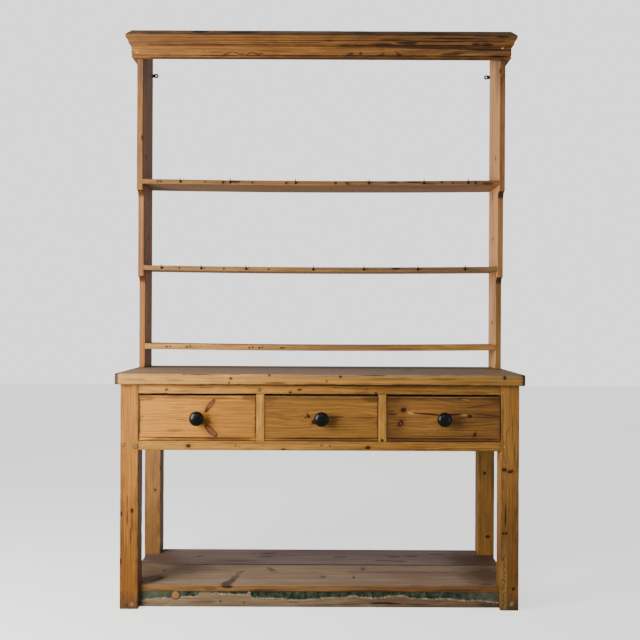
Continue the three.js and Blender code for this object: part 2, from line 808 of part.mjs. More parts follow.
// The roof board overhangs with the crown, bevelled along the front and both ends.
function roofBoard() {
  const outward = friezeThickness + crownProjection;
  const [half, depth] = [rackHalf + outward, rackTopDepth + outward];
  const lengthwise = polygon([[0, 0], [0, roofThickness], [roofBevel - depth, roofThickness], [-depth, 0]]);
  const crosswise = polygon([
    [-half, 0], [half, 0], [half - roofBevel, roofThickness], [roofBevel - half, roofThickness],
  ]);
  return acrossWidth(lengthwise, [-half, half])
    .intersect(acrossDepth(crosswise, [-depth - overrun, overrun]))
    .translate([0, 0, rackHeight]);
}

// A small iron plate with two screw holes and an eye that shows inside the rack side.
function wallPlate(side) {
  const centre = rackHalf - rackSideThickness / 2;
  const eye = side * (rackInner - plateEyeReach);
  const through = [plateSpan[0] - overrun, plateSpan[1] + overrun];
  const tab = block({
    x: mirrored([centre - plateWidth / 2, centre + plateWidth / 2], side),
    y: plateSpan,
    z: [plateEyeZ - plateHeight / 2, plateEyeZ + plateHeight / 2],
  });
  const neck = block({
    x: mirrored([rackInner - plateEyeReach, centre], side),
    y: plateSpan,
    z: [plateEyeZ - plateNeckHeight / 2, plateEyeZ + plateNeckHeight / 2],
  });
  const ring = cylinder(plateEyeRadius, eye, plateSpan, plateEyeZ, plateSides);
  const holes = [cylinder(plateHoleRadius, eye, through, plateEyeZ, plateSides)];
  for (const way of [-1, 1]) {
    const screwZ = plateEyeZ + (way * plateScrewSpacing) / 2;
    holes.push(cylinder(plateScrewRadius, side * centre, through, screwZ, plateSides));
  }
  return cutAll(tab.add(neck).add(ring), holes);
}

function makeRack() {
  const rack = new THREE.Group();
  rack.position.set(0, caseFrontY + caseDepth, worktopHeight);
  for (const board of shelves) rack.add(piece(board.name, shelf(board), 'pine'));
  const friezeUnder = rackHeight - friezeHeight;
  const crownUnder = rackHeight - crownHeight;
  const frieze = mitredRun(friezeOutline(), 0, friezeThickness, friezeUnder, rackHeight);
  const crown = mitredRun(crownOutline(), friezeThickness, crownProjection, crownUnder, rackHeight);
  rack.add(
    piece('frieze_front', frieze.front, 'pine'),
    piece('crown_moulding_front', crown.front, 'darkPine'),
    piece('roof_board', roofBoard(), 'roofPine'),
  );
  for (const [name, side] of sideNames) {
    rack.add(
      piece(`rack_side_${name}`, rackSide(side), 'pine'),
      piece(`frieze_${name}`, frieze[name], 'pine'),
      piece(`crown_moulding_${name}`, crown[name], 'darkPine'),
      piece(`wall_plate_${name}`, wallPlate(side), 'iron'),
    );
  }
  return rack;
}

const [firstDivider, secondDivider] = dividerCentres;
const openings = {
  left: [-legInner, firstDivider - dividerWidth / 2],
  middle: [firstDivider + dividerWidth / 2, secondDivider - dividerWidth / 2],
  right: [secondDivider + dividerWidth / 2, legInner],
};

const group = new THREE.Group();
group.add(makeBase(), makeRack());
for (const [name, opening] of Object.entries(openings)) group.add(makeDrawer(name, opening));

export default group;
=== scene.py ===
import math

import bmesh
import bpy
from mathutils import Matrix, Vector, noise


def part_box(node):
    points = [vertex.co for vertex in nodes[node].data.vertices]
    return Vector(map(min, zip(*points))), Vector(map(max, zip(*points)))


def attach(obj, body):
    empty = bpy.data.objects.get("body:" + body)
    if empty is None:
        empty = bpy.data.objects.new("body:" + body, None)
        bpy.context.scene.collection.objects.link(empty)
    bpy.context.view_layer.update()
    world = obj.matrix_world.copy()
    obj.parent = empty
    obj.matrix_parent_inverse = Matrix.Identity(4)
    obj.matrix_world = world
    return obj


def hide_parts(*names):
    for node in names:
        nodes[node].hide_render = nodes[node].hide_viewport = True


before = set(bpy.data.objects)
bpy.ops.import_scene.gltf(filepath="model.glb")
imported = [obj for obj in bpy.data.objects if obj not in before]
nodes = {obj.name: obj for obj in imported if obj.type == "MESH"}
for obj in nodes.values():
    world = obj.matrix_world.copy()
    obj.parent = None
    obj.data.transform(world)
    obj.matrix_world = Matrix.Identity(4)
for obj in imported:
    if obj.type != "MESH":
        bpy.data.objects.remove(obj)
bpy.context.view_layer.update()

scene = bpy.context.scene

# --- The room it is photographed in -------------------------------------------------------
# The dresser is seen square on from the front, from 2.75 m before the drawers and at 1.02 m,
# standing height for a hand-held camera. The lens sees 44 degrees across the square picture.
eye = bpy.data.cameras.new("eye")
eye.lens = 44.5
eye.sensor_width = 36
eye.shift_x = -0.0004
eye.shift_y = -0.0035
camera = bpy.data.objects.new("camera", eye)
camera.location = (0, -2.958, 1.016)
camera.rotation_euler = (math.radians(90), math.radians(-0.25), 0)
scene.collection.objects.link(camera)
scene.camera = camera


def linear(code):
    """An sRGB hex colour as linear light."""
    parts = [int(code[i:i + 2], 16) / 255 for i in (0, 2, 4)]
    light = [c / 12.92 if c <= 0.04045 else ((c + 0.055) / 1.055) ** 2.4 for c in parts]
    return (*light, 1.0)


def feed(node, links):
    """Gives a shader node's sockets their values and links."""
    for socket, value in links.items():
        if isinstance(value, bpy.types.Node):
            value = value.outputs[2 if value.bl_idname == "ShaderNodeMix" else 0]
        if isinstance(value, bpy.types.NodeSocket):
            node.id_data.links.new(value, node.inputs[socket])
        else:
            node.inputs[socket].default_value = value


def add(tree, kind, links, **settings):
    """Adds one shader node with its settings, values and links."""
    made = tree.nodes.new("ShaderNode" + kind)
    for title, value in settings.items():
        if title == "stops":
            made.color_ramp.elements[1].position = value[-1][0]
            for place, _ in value[1:-1]:
                made.color_ramp.elements.new(place)
            for element, (place, tone) in zip(made.color_ramp.elements, value):
                element.position = place
                element.color = tone if isinstance(tone, tuple) else (tone, tone, tone, 1)
        else:
            setattr(made, title, value)
    feed(made, links)
    return made


def new_material(name):
    """An empty material, with its node tree and its shader."""
    made = bpy.data.materials.new(name)
    made.use_nodes = True
    return made, made.node_tree, made.node_tree.nodes["Principled BSDF"]


# A pale wall of light all round: white behind the dresser, weak on the wood, and a little
# stronger in what shines.
room = bpy.data.worlds.new("pale_room")
room.use_nodes = True
tree = room.node_tree
seen = add(tree, "LightPath", {})
glow = add(tree, "MapRange", {"Value": seen.outputs["Is Camera Ray"], "To Min": 0.13,
                              "To Max": 1.7})
glow = add(tree, "Math", {0: seen.outputs["Is Glossy Ray"], 1: 0.25, 2: glow},
           operation="MULTIPLY_ADD")
feed(tree.nodes["Background"], {"Strength": glow, "Color": (1, 1, 1, 1)})
scene.world = room

# Soft light from a large window at the left, a little in front of the dresser, a weak fill
# over the camera and cool sky light from a small window low at the right. Each lamp: place,
# what it points at, width and height, watts, tone.
for title, place, target, size, watts, tone in (
    ("window", (-1.8, -1.35, 1.35), (0.0, 0.0, 0.95), (1.3, 1.7), 80, (1, 1, 1)),
    ("ceiling_bounce", (-0.6, -3.4, 2.9), (0.1, 0.0, 0.8), (2.6, 1.6), 12, (1, 1, 1)),
    ("sky_fill", (2.4, -1.7, 0.7), (0.0, 0.0, 1.0), (1.6, 1.6), 11, (0.4, 0.66, 1)),
):
    lamp = bpy.data.lights.new(title, "AREA")
    lamp.shape = "RECTANGLE"
    lamp.size, lamp.size_y = size
    lamp.energy = watts
    lamp.color = tone
    stand = bpy.data.objects.new(title, lamp)
    stand.location = place
    stand.rotation_euler = (Vector(target) - Vector(place)).to_track_quat("-Z", "Y").to_euler()
    stand.visible_camera = False
    scene.collection.objects.link(stand)

# Painted studio floor, matt and faintly uneven, so that it stays plain but isn't dead flat.
floor_paint, tree, shader = new_material("pale_floor_paint")
spot = add(tree, "TexCoord", {}).outputs["Object"]
cloudy = add(tree, "TexNoise", {"Vector": spot, "Scale": 0.8, "Detail": 3.0})
tone = add(tree, "Mix", {0: cloudy, 6: linear("efeeec"), 7: linear("f7f6f4")}, data_type="RGBA")
feed(shader, {"Base Color": tone, "Roughness": 0.85})
# Light scattered inside the white paint keeps the floor as bright as the wall behind.
feed(shader, {"Emission Color": tone, "Emission Strength": 1.4})
ground = bmesh.new()
bmesh.ops.create_grid(ground, x_segments=8, y_segments=8, size=9)
floor_mesh = bpy.data.meshes.new("floor")
ground.to_mesh(floor_mesh)
ground.free()
floor_mesh.materials.append(floor_paint)
floor = bpy.data.objects.new("floor", floor_mesh)
scene.collection.objects.link(floor)
# Its glow neither lights the wood nor mirrors in it.
floor.visible_diffuse = False
floor.visible_glossy = False

# --- Legs ---------------------------------------------------------------------------------
# Four 64 mm square posts of Scots pine, sawn, planed by hand and waxed: a satin orange-brown
# with darker rings and nearly black knots. The rails are tenoned into them and each joint is
# held by an oak peg. A century of use has rounded their arrises.


def pine(name, along, wide, low, high, hues, pith=(12, 60), spacing=4.4, lot=1, bend=26,
         knots=(), washes=(), marks=(), grime=0.45, wear=0.5, end="6b4526", shine=0.46,
         heart="3a1c0c", rim="1c0c05", lines=0.5, front=None, under=None):
    """Sawn pine: growth rings round the pith, cut by the board's faces, with fine fibres.

    along and wide are the axes of the board's length and width, low and high its corners in
    mm. hues are its pale springwood, dark summerwood and aged tone. pith is how far the
    tree's middle lies from the board's, across its width and thickness, in mm; spacing is
    the width of a growth ring, and bend how far the trunk sways. lot gives each board grain
    of its own. A knot is its place, half sizes and turn; a wash under the knots and a mark
    over them add a colour and strength, and some of them are painted light and painted shade.
    Places and sizes are in mm along, across and through the board. heart and rim are the
    knots' colours. grime, wear and lines are how strong the old dirt, the bared arrises and
    the fine dark cracks are, end is the tone of end grain, and shine the roughness of the wax.
    front is a tone of the faces that look one way, with its share, brightness, saturation and
    the way they look, and under is a tone painted on those that look down, with its strength:
    painted shade in the rack's coves and painted light under the shelves.
    """
    spring, summer, aged = [linear(hue) for hue in hues]
    material, tree, shader = new_material(name)
    axes = [along, wide] + [axis for axis in "XYZ" if axis not in (along, wide)]
    order = ["XYZ".index(axis) for axis in axes]
    centre = [(low[i] + high[i]) / 2 for i in order]
    half = [(high[i] - low[i]) / 2 for i in order]

    # The frame's metres, as mm along, across and through the board.
    place = add(tree, "TexCoord", {})
    split = add(tree, "SeparateXYZ", {0: place.outputs["Object"]})
    metres = add(tree, "CombineXYZ", {i: split.outputs[axis] for i, axis in enumerate(axes)})
    grain = add(tree, "VectorMath", {0: metres, 1: (1000, 1000, 1000)}, operation="MULTIPLY")
    run = add(tree, "SeparateXYZ", {0: grain})

    # Sizes in mm of what varies: the trunk's bends, waves in the rings, fibres (0.05 mm in
    # real pine, drawn 2 mm wide to show), resin streaks, patches, dents, plane marks, dirt.
    elsewhere = (lot * 531.7, lot * 117.3, lot * 71.9)
    other = add(tree, "VectorMath", {0: grain, 1: elsewhere}, operation="ADD")
    cloud = {}
    for title, size in {
        "bend": (430, 150, 150), "wave": (75, 17, 17), "fibre": (120, 2.0, 2.0),
        "vein": (210, 4.5, 4.5), "crack": (170, 2.8, 2.8), "streak": (280, 7, 7),
        "patch": (330, 75, 75), "dent": (11, 7, 7), "plane": (160, 36, 36), "dirt": (55, 20, 20),
    }.items():
        squeezed = add(tree, "VectorMath", {0: other, 1: [1 / s for s in size]},
                       operation="MULTIPLY")
        cloud[title] = add(tree, "TexNoise", {"Vector": squeezed, "Scale": 1, "Detail": 3.0})

    def distance_to(spot):
        """How far each place is from the middle of a knot or mark, 1 at its rim."""
        inside = add(tree, "Mapping", {
            "Vector": grain, "Location": spot[:3], "Scale": spot[3:6],
            "Rotation": (0, 0, math.radians(spot[6])),
        }, vector_type="TEXTURE")
        return add(tree, "VectorMath", {0: inside}, operation="LENGTH").outputs["Value"]

    # How near the closest knot is; its rim is as ragged as the dirt.
    near = 99.0
    for knot in knots:
        near = add(tree, "Math", {0: near, 1: distance_to(knot)}, operation="MINIMUM")
    near = add(tree, "Math", {0: cloud["dirt"], 1: 0.7, 2: near}, operation="MULTIPLY_ADD")
    near = add(tree, "Math", {0: near, 1: 0.35}, operation="SUBTRACT")

    # Rings: the distance from the pith, which wanders along the trunk and bulges round knots.
    sway = {0: cloud["bend"].outputs["Color"], 1: (0, bend, bend), 2: grain}
    bent = add(tree, "VectorMath", sway, operation="MULTIPLY_ADD")
    core = (0, -centre[1] - pith[0] - bend / 2, -centre[2] - pith[1] - bend / 2)
    spoke = add(tree, "VectorMath", {0: bent, 1: (0, 1, 1), 2: core}, operation="MULTIPLY_ADD")
    radius = add(tree, "VectorMath", {0: spoke}, operation="LENGTH").outputs["Value"]
    taper = 0.012  # mm for each mm along the trunk
    radius = add(tree, "Math", {0: run.outputs[0], 1: taper, 2: radius}, operation="MULTIPLY_ADD")
    radius = add(tree, "Math", {0: cloud["wave"], 1: 5.0, 2: radius}, operation="MULTIPLY_ADD")
    bulge = add(tree, "MapRange", {"Value": near, "From Min": 1.0, "From Max": 3.0,
                                   "To Min": 1.0, "To Max": 0.0},
                interpolation_type="SMOOTHSTEP")
    radius = add(tree, "Math", {0: bulge, 1: 1.5 * spacing, 2: radius}, operation="MULTIPLY_ADD")
    years = add(tree, "Math", {0: radius, 1: 1 / 21}, operation="MULTIPLY")
    season = add(tree, "TexNoise", {"W": years, "Scale": 1, "Detail": 1.0}, noise_dimensions="1D")
    count = add(tree, "Math", {0: radius, 1: 1 / spacing}, operation="MULTIPLY")
    count = add(tree, "Math", {0: season, 1: 3.0, 2: count}, operation="MULTIPLY_ADD")
    within = add(tree, "Math", {0: count}, operation="FRACT")
    ring = add(tree, "ValToRGB", {0: within}, stops=[
        (0.0, 0.0), (0.38, 0.12), (0.74, 0.6), (0.9, 1.0), (0.985, 0.35), (1.0, 0.0)])
    bold = add(tree, "MapRange", {"Value": season, "From Min": 0.3, "From Max": 0.7,
                                  "To Min": 0.35, "To Max": 1.0})
    late = add(tree, "Math", {0: ring, 1: bold}, operation="MULTIPLY")

    # Colour: springwood to summerwood, aged patches, resin streaks, fine dark cracks.
    tint = add(tree, "Mix", {0: late, 6: spring, 7: summer}, data_type="RGBA")
    patch = add(tree, "MapRange", {"Value": cloud["patch"], "From Min": 0.42, "From Max": 0.68,
                                   "To Max": 0.75})
    tint = add(tree, "Mix", {0: patch, 6: tint, 7: aged}, data_type="RGBA")
    resin = add(tree, "MapRange", {"Value": cloud["streak"], "From Min": 0.56, "From Max": 0.74,
                                   "To Max": 0.6})
    tint = add(tree, "Mix", {0: resin, 6: tint, 7: summer}, data_type="RGBA")
    crack = add(tree, "MapRange", {"Value": cloud["crack"], "From Min": 0.64, "From Max": 0.74,
                                   "To Max": lines})
    tint = add(tree, "Mix", {0: crack, 6: tint, 7: linear("2e180a")}, data_type="RGBA")

    # The faces that look one way get a tone of their own: the worktop's and pot board's front edges
    # toned by wear and hands, the left legs' sides painted cool light, the rack sides' front and
    # outer faces painted shade.
    facing = add(tree, "SeparateXYZ", {0: place.outputs["Normal"]})
    if front:
        front_tone, share, brightness, saturation, way = front
        outward = add(tree, "VectorMath", {0: place.outputs["Normal"], 1: way},
                      operation="DOT_PRODUCT")
        forward = add(tree, "MapRange", {"Value": outward.outputs["Value"], "From Min": 0.45,
                                         "From Max": 0.8})
        tone = add(tree, "HueSaturation", {"Color": tint, "Value": brightness,
                                           "Saturation": saturation})
        tone = add(tree, "Mix", {0: share, 6: tone, 7: linear(front_tone)}, data_type="RGBA")
        tint = add(tree, "Mix", {0: forward, 6: tint, 7: tone}, data_type="RGBA")
    # Painted light and shade on the faces that look down: dark in the rack's coves as painted
    # shade, pale under the shelves as painted light.
    if under:
        painted_underside_tone, strength = under
        painted_underside = add(tree, "MapRange", {"Value": facing.outputs[2], "From Min": -0.02,
                                       "From Max": -0.3, "To Max": strength})
        tint = add(tree, "Mix", {0: painted_underside, 6: tint, 7: linear(painted_underside_tone)}, data_type="RGBA")

    def blotted(tint, spots, full, none):
        """The tint under ragged spots, each whole up to full and gone at none."""
        for spot in spots:
            reach = add(tree, "Math", {0: cloud["dirt"], 1: 0.9, 2: distance_to(spot)},
                        operation="MULTIPLY_ADD")
            blot = add(tree, "MapRange", {"Value": reach, "From Min": full, "From Max": none,
                                          "To Min": spot[8], "To Max": 0.0})
            tint = add(tree, "Mix", {0: blot, 6: tint, 7: linear(spot[7])}, data_type="RGBA")
        return tint

    # Broad changes of tone, some of them painted light and painted shade, then the knots: a warm
    # halo, and dark wood with a darker rim.
    tint = blotted(tint, washes, 0.9, 1.9)
    halo = add(tree, "MapRange", {"Value": near, "From Min": 1.0, "From Max": 2.6, "To Min": 0.6,
                                  "To Max": 0.0})
    tint = add(tree, "Mix", {0: halo, 6: tint, 7: summer}, data_type="RGBA")
    knot_wood = add(tree, "ValToRGB", {0: near}, stops=[
        (0.0, linear(heart)), (0.7, linear(heart)), (0.92, linear(rim)), (1.0, linear(rim))])
    knotty = add(tree, "MapRange", {"Value": near, "From Min": 0.92, "From Max": 1.12,
                                    "To Min": 0.95, "To Max": 0.0})
    tint = add(tree, "Mix", {0: knotty, 6: tint, 7: knot_wood}, data_type="RGBA")

    # Stains and rubbed places, and painted shade where parts meet or overhang.
    tint = blotted(tint, marks, 1.2, 1.6)

    # How far the nearest edge of the board is: the middle one of the distances to its faces.
    # Old dirt has gathered along the edges and in the dents, and rubbing has bared the arrises.
    off = add(tree, "VectorMath", {0: grain, 1: centre}, operation="SUBTRACT")
    off = add(tree, "VectorMath", {0: off}, operation="ABSOLUTE")
    room_left = add(tree, "VectorMath", {0: half, 1: off}, operation="SUBTRACT")
    gap = add(tree, "SeparateXYZ", {0: room_left})
    least = add(tree, "Math", {0: gap.outputs[0], 1: gap.outputs[1]}, operation="MINIMUM")
    most = add(tree, "Math", {0: gap.outputs[0], 1: gap.outputs[1]}, operation="MAXIMUM")
    most = add(tree, "Math", {0: most, 1: gap.outputs[2]}, operation="MINIMUM")
    edge = add(tree, "Math", {0: least, 1: most}, operation="MAXIMUM")
    smear = add(tree, "Math", {0: cloud["dirt"], 1: 46.0, 2: edge}, operation="MULTIPLY_ADD")
    soot = add(tree, "MapRange", {"Value": smear, "From Min": 16.0, "From Max": 36.0,
                                  "To Min": grime, "To Max": 0.0})
    old_dirt = linear("3b2412")
    tint = add(tree, "Mix", {0: soot, 6: tint, 7: old_dirt}, data_type="RGBA")
    filled = add(tree, "MapRange", {"Value": cloud["dent"], "From Min": 0.27, "From Max": 0.35,
                                    "To Min": grime, "To Max": 0.0})
    tint = add(tree, "Mix", {0: filled, 6: tint, 7: old_dirt}, data_type="RGBA")
    rub = add(tree, "Math", {0: cloud["dent"], 1: 5.0, 2: edge}, operation="MULTIPLY_ADD")
    bare = add(tree, "MapRange", {"Value": rub, "From Min": 2.2, "From Max": 4.6,
                                  "To Min": wear, "To Max": 0.0})
    tint = add(tree, "Mix", {0: bare, 6: tint, 7: spring}, data_type="RGBA")

    # End grain soaks up wax and dirt, so it is darker. Fibres and veins run through it all.
    sawn = add(tree, "Math", {0: facing.outputs[axes[0]]}, operation="ABSOLUTE")
    cut = add(tree, "MapRange", {"Value": sawn, "From Min": 0.72, "From Max": 0.9, "To Max": 0.8})
    tint = add(tree, "Mix", {0: cut, 6: tint, 7: linear(end)}, data_type="RGBA")
    light = add(tree, "MapRange", {"Value": cloud["fibre"], "From Min": 0.3, "From Max": 0.7,
                                   "To Min": 0.82, "To Max": 1.16})
    vein = add(tree, "MapRange", {"Value": cloud["vein"], "From Min": 0.3, "From Max": 0.7,
                                  "To Min": 0.74, "To Max": 1.24})
    light = add(tree, "Math", {0: light, 1: vein}, operation="MULTIPLY")
    tint = add(tree, "HueSaturation", {"Color": tint, "Value": light})

    # Wax over planed wood: satin, duller where the grain is open or dirty.
    gloss = add(tree, "Math", {0: cloud["fibre"], 1: 0.16, 2: shine - 0.08},
                operation="MULTIPLY_ADD")
    gloss = add(tree, "Math", {0: cloud["patch"], 1: 0.2, 2: gloss}, operation="MULTIPLY_ADD")
    feed(shader, {"Base Color": tint, "Roughness": gloss, "Specular IOR Level": 0.3,
                  "Coat Weight": 0.05, "Coat Roughness": 0.3})

    # Relief in mm: summerwood stands proud, fibres, plane marks, small dents.
    height = add(tree, "Math", {0: late, 1: 0.06}, operation="MULTIPLY")
    height = add(tree, "Math", {0: cloud["fibre"], 1: 0.12, 2: height}, operation="MULTIPLY_ADD")
    height = add(tree, "Math", {0: cloud["plane"], 1: 0.9, 2: height}, operation="MULTIPLY_ADD")
    pits = add(tree, "MapRange", {"Value": cloud["dent"], "From Min": 0.26, "From Max": 0.38,
                                  "To Min": -0.5, "To Max": 0.0})
    height = add(tree, "Math", {0: height, 1: pits}, operation="ADD")
    relief = add(tree, "Bump", {"Height": height, "Strength": 0.9, "Distance": 0.001})
    feed(shader, {"Normal": relief})
    return material


def eased(corners, radii, steps=3):
    """An outline with each corner rounded to its own radius, in mm."""
    points = []
    for i, (corner, radius) in enumerate(zip(corners, radii)):
        here = Vector(corner)
        back = Vector(corners[i - 1]) - here
        ahead = Vector(corners[(i + 1) % len(corners)]) - here
        start = here + back.normalized() * min(radius, back.length * 0.48)
        stop = here + ahead.normalized() * min(radius, ahead.length * 0.48)
        for step in range(steps + 1):
            t = step / steps
            points.append(start * (1 - t) ** 2 + here * (2 * t * (1 - t)) + stop * t ** 2)
    return points


def skin(shape, rings):
    """Adds a closed body to a mesh under work: rings of points in mm, one after another."""
    loops = [[shape.verts.new(Vector(point) / 1000) for point in ring] for ring in rings]
    for one, two in zip(loops, loops[1:]):
        for i in range(len(one)):
            shape.faces.new((one[i - 1], one[i], two[i], two[i - 1]))
    shape.faces.new(loops[0])
    shape.faces.new(loops[-1])


def fit(name, shape, finish, body, slot, *solids):
    """Makes the finished mesh a piece of its own, which moves with its body and may take
    the place of solids."""
    bmesh.ops.recalc_face_normals(shape, faces=shape.faces)
    mesh = bpy.data.meshes.new(name)
    shape.to_mesh(mesh)
    shape.free()
    mesh.materials.append(finish)
    mesh.shade_smooth()
    mesh.set_sharp_from_angle(angle=math.radians(46))
    made = bpy.data.objects.new(name, mesh)
    scene.collection.objects.link(made)
    made.modifiers.new("even_shading", "WEIGHTED_NORMAL").keep_sharp = True
    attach(made, body)
    if solids:
        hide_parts(*solids)
    return made


def lofted(name, rings, finish, body, slot, *solids):
    """One closed body through rings of points in mm, as a piece of its own."""
    shape = bmesh.new()
    skin(shape, rings)
    fit(name, shape, finish, body, slot, *solids)


def stations(low, high, spacing, ease):
    """Places along a board, closer at its ends, each with how much the board shrinks there."""
    inner = max(2, round((high - low) / spacing))
    places = [(low, ease), (low + ease * 0.3, ease * 0.3), (low + ease, 0)]
    places += [(low + (high - low) * i / inner, 0) for i in range(1, inner)]
    return places + [(high - ease, 0), (high - ease * 0.3, ease * 0.3), (high, ease)]


def worn(place, corner, seed, size):
    """The radius of a worn arris, which varies along the board, with a dent here and there."""
    soft = noise.noise((place / 61, corner * 7.3, seed * 3.1))
    dent = max(0.0, noise.noise((place / 17, corner * 5.9 + 40, seed * 1.7)) - 0.32)
    return size * (1 + 0.7 * soft + 5.0 * dent)


def board(node, body, slot, finish, axis, low, high, arris, seed, spacing=24):
    """A straight board between two corners in mm, with worn arrises."""
    i = "xyz".index(axis)
    p, q = [k for k in range(3) if k != i]
    rings = []
    for place, shrink in stations(low[i], high[i], spacing, 1.2):
        corners = [
            (low[p] + shrink, low[q] + shrink), (high[p] - shrink, low[q] + shrink),
            (high[p] - shrink, high[q] - shrink), (low[p] + shrink, high[q] - shrink),
        ]
        ring = []
        for a, b in eased(corners, [worn(place, c, seed, arris) for c in range(4)]):
            point = [0, 0, 0]
            point[i], point[p], point[q] = place, a, b
            ring.append(point)
        rings.append(ring)
    lofted(node + "_worn", rings, finish, body, slot, node)


# Where the faces lie that many pieces share, in mm. The drawers are flush with the legs.
front_face, back_face = -208, 246
leg_width, leg_outer, leg_inner = 64, 694, 630
worktop_under, worktop_top = 782.5, 820


def on_face(place, rows):
    """Knots or marks on a board's broad face: where it lies goes third into each row."""
    return [(*row[:2], place, *row[2:]) for row in rows]


def on_edge(place, rows):
    """Knots or marks on a board's long edge: where it lies goes second into each row."""
    return [(row[0], place, *row[1:]) for row in rows]


# The young rings by the pith show as a row of scallops down the inner edge of the right leg.
scallops = [
    (20 + 9 * k + 2 * math.sin(k * 2.3), 641 + 3 * (k % 2) + 1.4 * math.sin(k * 1.7),
     6 + math.sin(k), 2.4, 8, 34 - 68 * (k % 2), "5a3410", 0.65) for k in range(20)]
# Painted light: the left legs' sides, which look to the right, are painted a cooler, paler tone for
# the cool light of the room.
painted_cool_light = ("a08a84", 0.25, 1.12, 0.9, (1, 0, 0))
back_leg_front = back_face - leg_width
legs = {
    "leg_front_left": {
        "corner": (-leg_outer, front_face),
        "hues": ("d28a36", "a2601e", "ba762a"), "pith": (34, 26), "front": painted_cool_light,
        "knots": [
            (342.7, -651.4, 8, 5.5, 20, 0), (333, -690, 7, 4.5, 20, 0), (166, -692, 12, 5, 20, 0)],
        "marks": [
            (321, -668, 34, 2.2, 10, 0, "2a1408", 0.85),
            (302, -651, 38, 2.2, 10, 0, "2a1408", 0.85), (259, -656, 30, 2.0, 10, 0, "2a1408", 0.8),
            (376, -668, 30, 1.9, 10, 0, "2a1408", 0.75), (690, -683, 60, 1.6, 10, 0, "5a3010", 0.5),
            (17, -651, 8, 7, 14, 0, "c8a478", 0.4), (13, -669, 7, 6, 14, 0, "4a2c1a", 0.6)],
    },
    "leg_front_right": {
        "corner": (leg_inner, front_face),
        "hues": ("cc8e40", "986020", "b2742c"), "pith": (-30, 18),
        "knots": [
            (490, 642, 6, 9, 22, 12), (484, 663, 5, 10, 22, -8), (269, 640, 5, 4, 14, 0),
            (269, 650.5, 6, 4.5, 14, 0), (268, 694, 7, 5, 14, 0), (76.5, 675, 7, 6, 20, 0)],
        "marks": [
            (330, 647, 40, 2.6, 10, 0, "2a1408", 0.9), (545, 678, 40, 4, 14, 0, "4a2810", 0.5),
            (24, 669, 8, 6, 14, 30, "d0b890", 0.4), (640, 670, 50, 2, 10, 0, "4a2810", 0.5),
            (620, 652, 20, 2, 10, 15, "4a2810", 0.5)] + scallops,
        "washes": [
            (150, 662, 260, 60, 60, 0, "5c3610", 0.3), (90, 642, 130, 11, 14, 0, "d0a05c", 0.5)],
    },
    "leg_back_left": {
        "corner": (-leg_outer, back_leg_front),
        "hues": ("c08a4a", "92602a", "a87438"), "pith": (50, 30), "front": painted_cool_light,
        "knots": [
            (330, -652, 5, 4, 20, 0), (560, -670, 5, 4, 20, 0)],
    },
    "leg_back_right": {
        "corner": (leg_inner, back_leg_front),
        "hues": ("e2a04a", "ae722c", "c6883a"), "pith": (-44, 30),
        "knots": [
            (402, 655, 6, 5, 20, 0), (150, 668, 6, 9, 20, 0)],
    },
}
for lot, (node, leg) in enumerate(legs.items(), 1):
    x, y = leg["corner"]
    low, high = (x, y, 0), (x + leg_width, y + leg_width, worktop_under)
    middle = (x + leg_width / 2, y + leg_width / 2)
    # The legs are darker towards the floor.
    washes = [(40, *middle, 420, 90, 90, 0, "54300f", 0.5),
              (0, *middle, 50, 90, 90, 0, "54422e", 0.6)]
    washes += on_face(y, leg.get("washes", []))
    finish = pine("waxed_pine_" + node, "Z", "X", low, high, leg["hues"], pith=leg["pith"],
                  spacing=4.0, lot=lot, bend=18, knots=on_face(y, leg["knots"]), washes=washes,
                  marks=on_face(y, leg.get("marks", [])), front=leg.get("front"))
    board(node, "frame", "waxed_pine", finish, "z", low, high, arris=3.0, seed=lot)

# --- Front frame round the drawers --------------------------------------------------------
# Two rails tenoned between the front legs and two short dividers stub-tenoned into the rails,
# of the same waxed pine as the legs. The rails are veined; the dividers are paler and plain.
rail_back = front_face + 40
opening_low, opening_high = 585.5, 750
rails = {
    "front_top_rail": {
        "low": opening_high, "high": worktop_under,
        "knots": [
            (-533, 764, 4.6, 3.4, 16, 0), (195, 754.5, 4.4, 3.4, 16, 0), (-71, 765, 6, 3.6, 16, 12),
            (-102.6, 756, 4.4, 3.4, 16, 0)],
        "marks": [
            (-392, 770.6, 28, 4, 14, 0, "8a5420", 0.5), (56, 773, 18, 2, 14, 0, "5a3012", 0.5),
            # The dark lines along the bottom and the top are painted shade: of the gap over the
            # drawers, and the shadow under the worktop's overhang.
            (0, 750, 660, 1.9, 14, 0, "140a04", 0.9), (0, 782.5, 640, 3.4, 14, 0, "1e1008", 0.85),
            (540, 756, 60, 4, 14, 0, "6a3e14", 0.5)],
        # Painted light at the left and painted shade at the right, for the window at the left.
        "washes": [
            (-420, 766, 330, 40, 30, 0, "f4a850", 0.4), (420, 766, 300, 40, 30, 0, "7a4e1e", 0.4)],
    },
    "drawer_rail": {
        "low": 553.5, "high": opening_low,
        "knots": [
            (-456.8, 568.4, 8, 6.4, 16, 0), (168, 565, 8, 6, 16, 0), (-126, 557.7, 5, 2.6, 16, 0)],
        "marks": [
            (-280, 567, 5, 2, 10, 0, "5a3012", 0.6), (-195, 572, 12, 1.4, 10, 10, "5a3012", 0.6),
            (300, 563, 90, 1.6, 10, 2, "5a3414", 0.6), (400, 574, 80, 1.5, 10, -2, "6a3e18", 0.5),
            (480, 562, 150, 3, 10, 1, "5a3414", 0.6)],
        # Painted light at the left, for the window there.
        "washes": [(-440, 570, 300, 40, 30, 0, "e8a044", 0.35)],
    },
}
for lot, (node, rail) in enumerate(rails.items(), 5):
    low = (-leg_inner, front_face, rail["low"])
    high = (leg_inner, rail_back, rail["high"])
    finish = pine("waxed_pine_" + node, "X", "Z", low, high, ("cc9040", "96601e", "b2762c"),
                  pith=(-16, 46), spacing=4.2, lot=lot, bend=22, lines=0.8,
                  knots=on_face(front_face, rail["knots"]),
                  washes=on_face(front_face, rail["washes"]),
                  marks=on_face(front_face, rail["marks"]))
    board(node, "frame", "waxed_pine", finish, "x", low, high, arris=1.6, seed=lot, spacing=18)

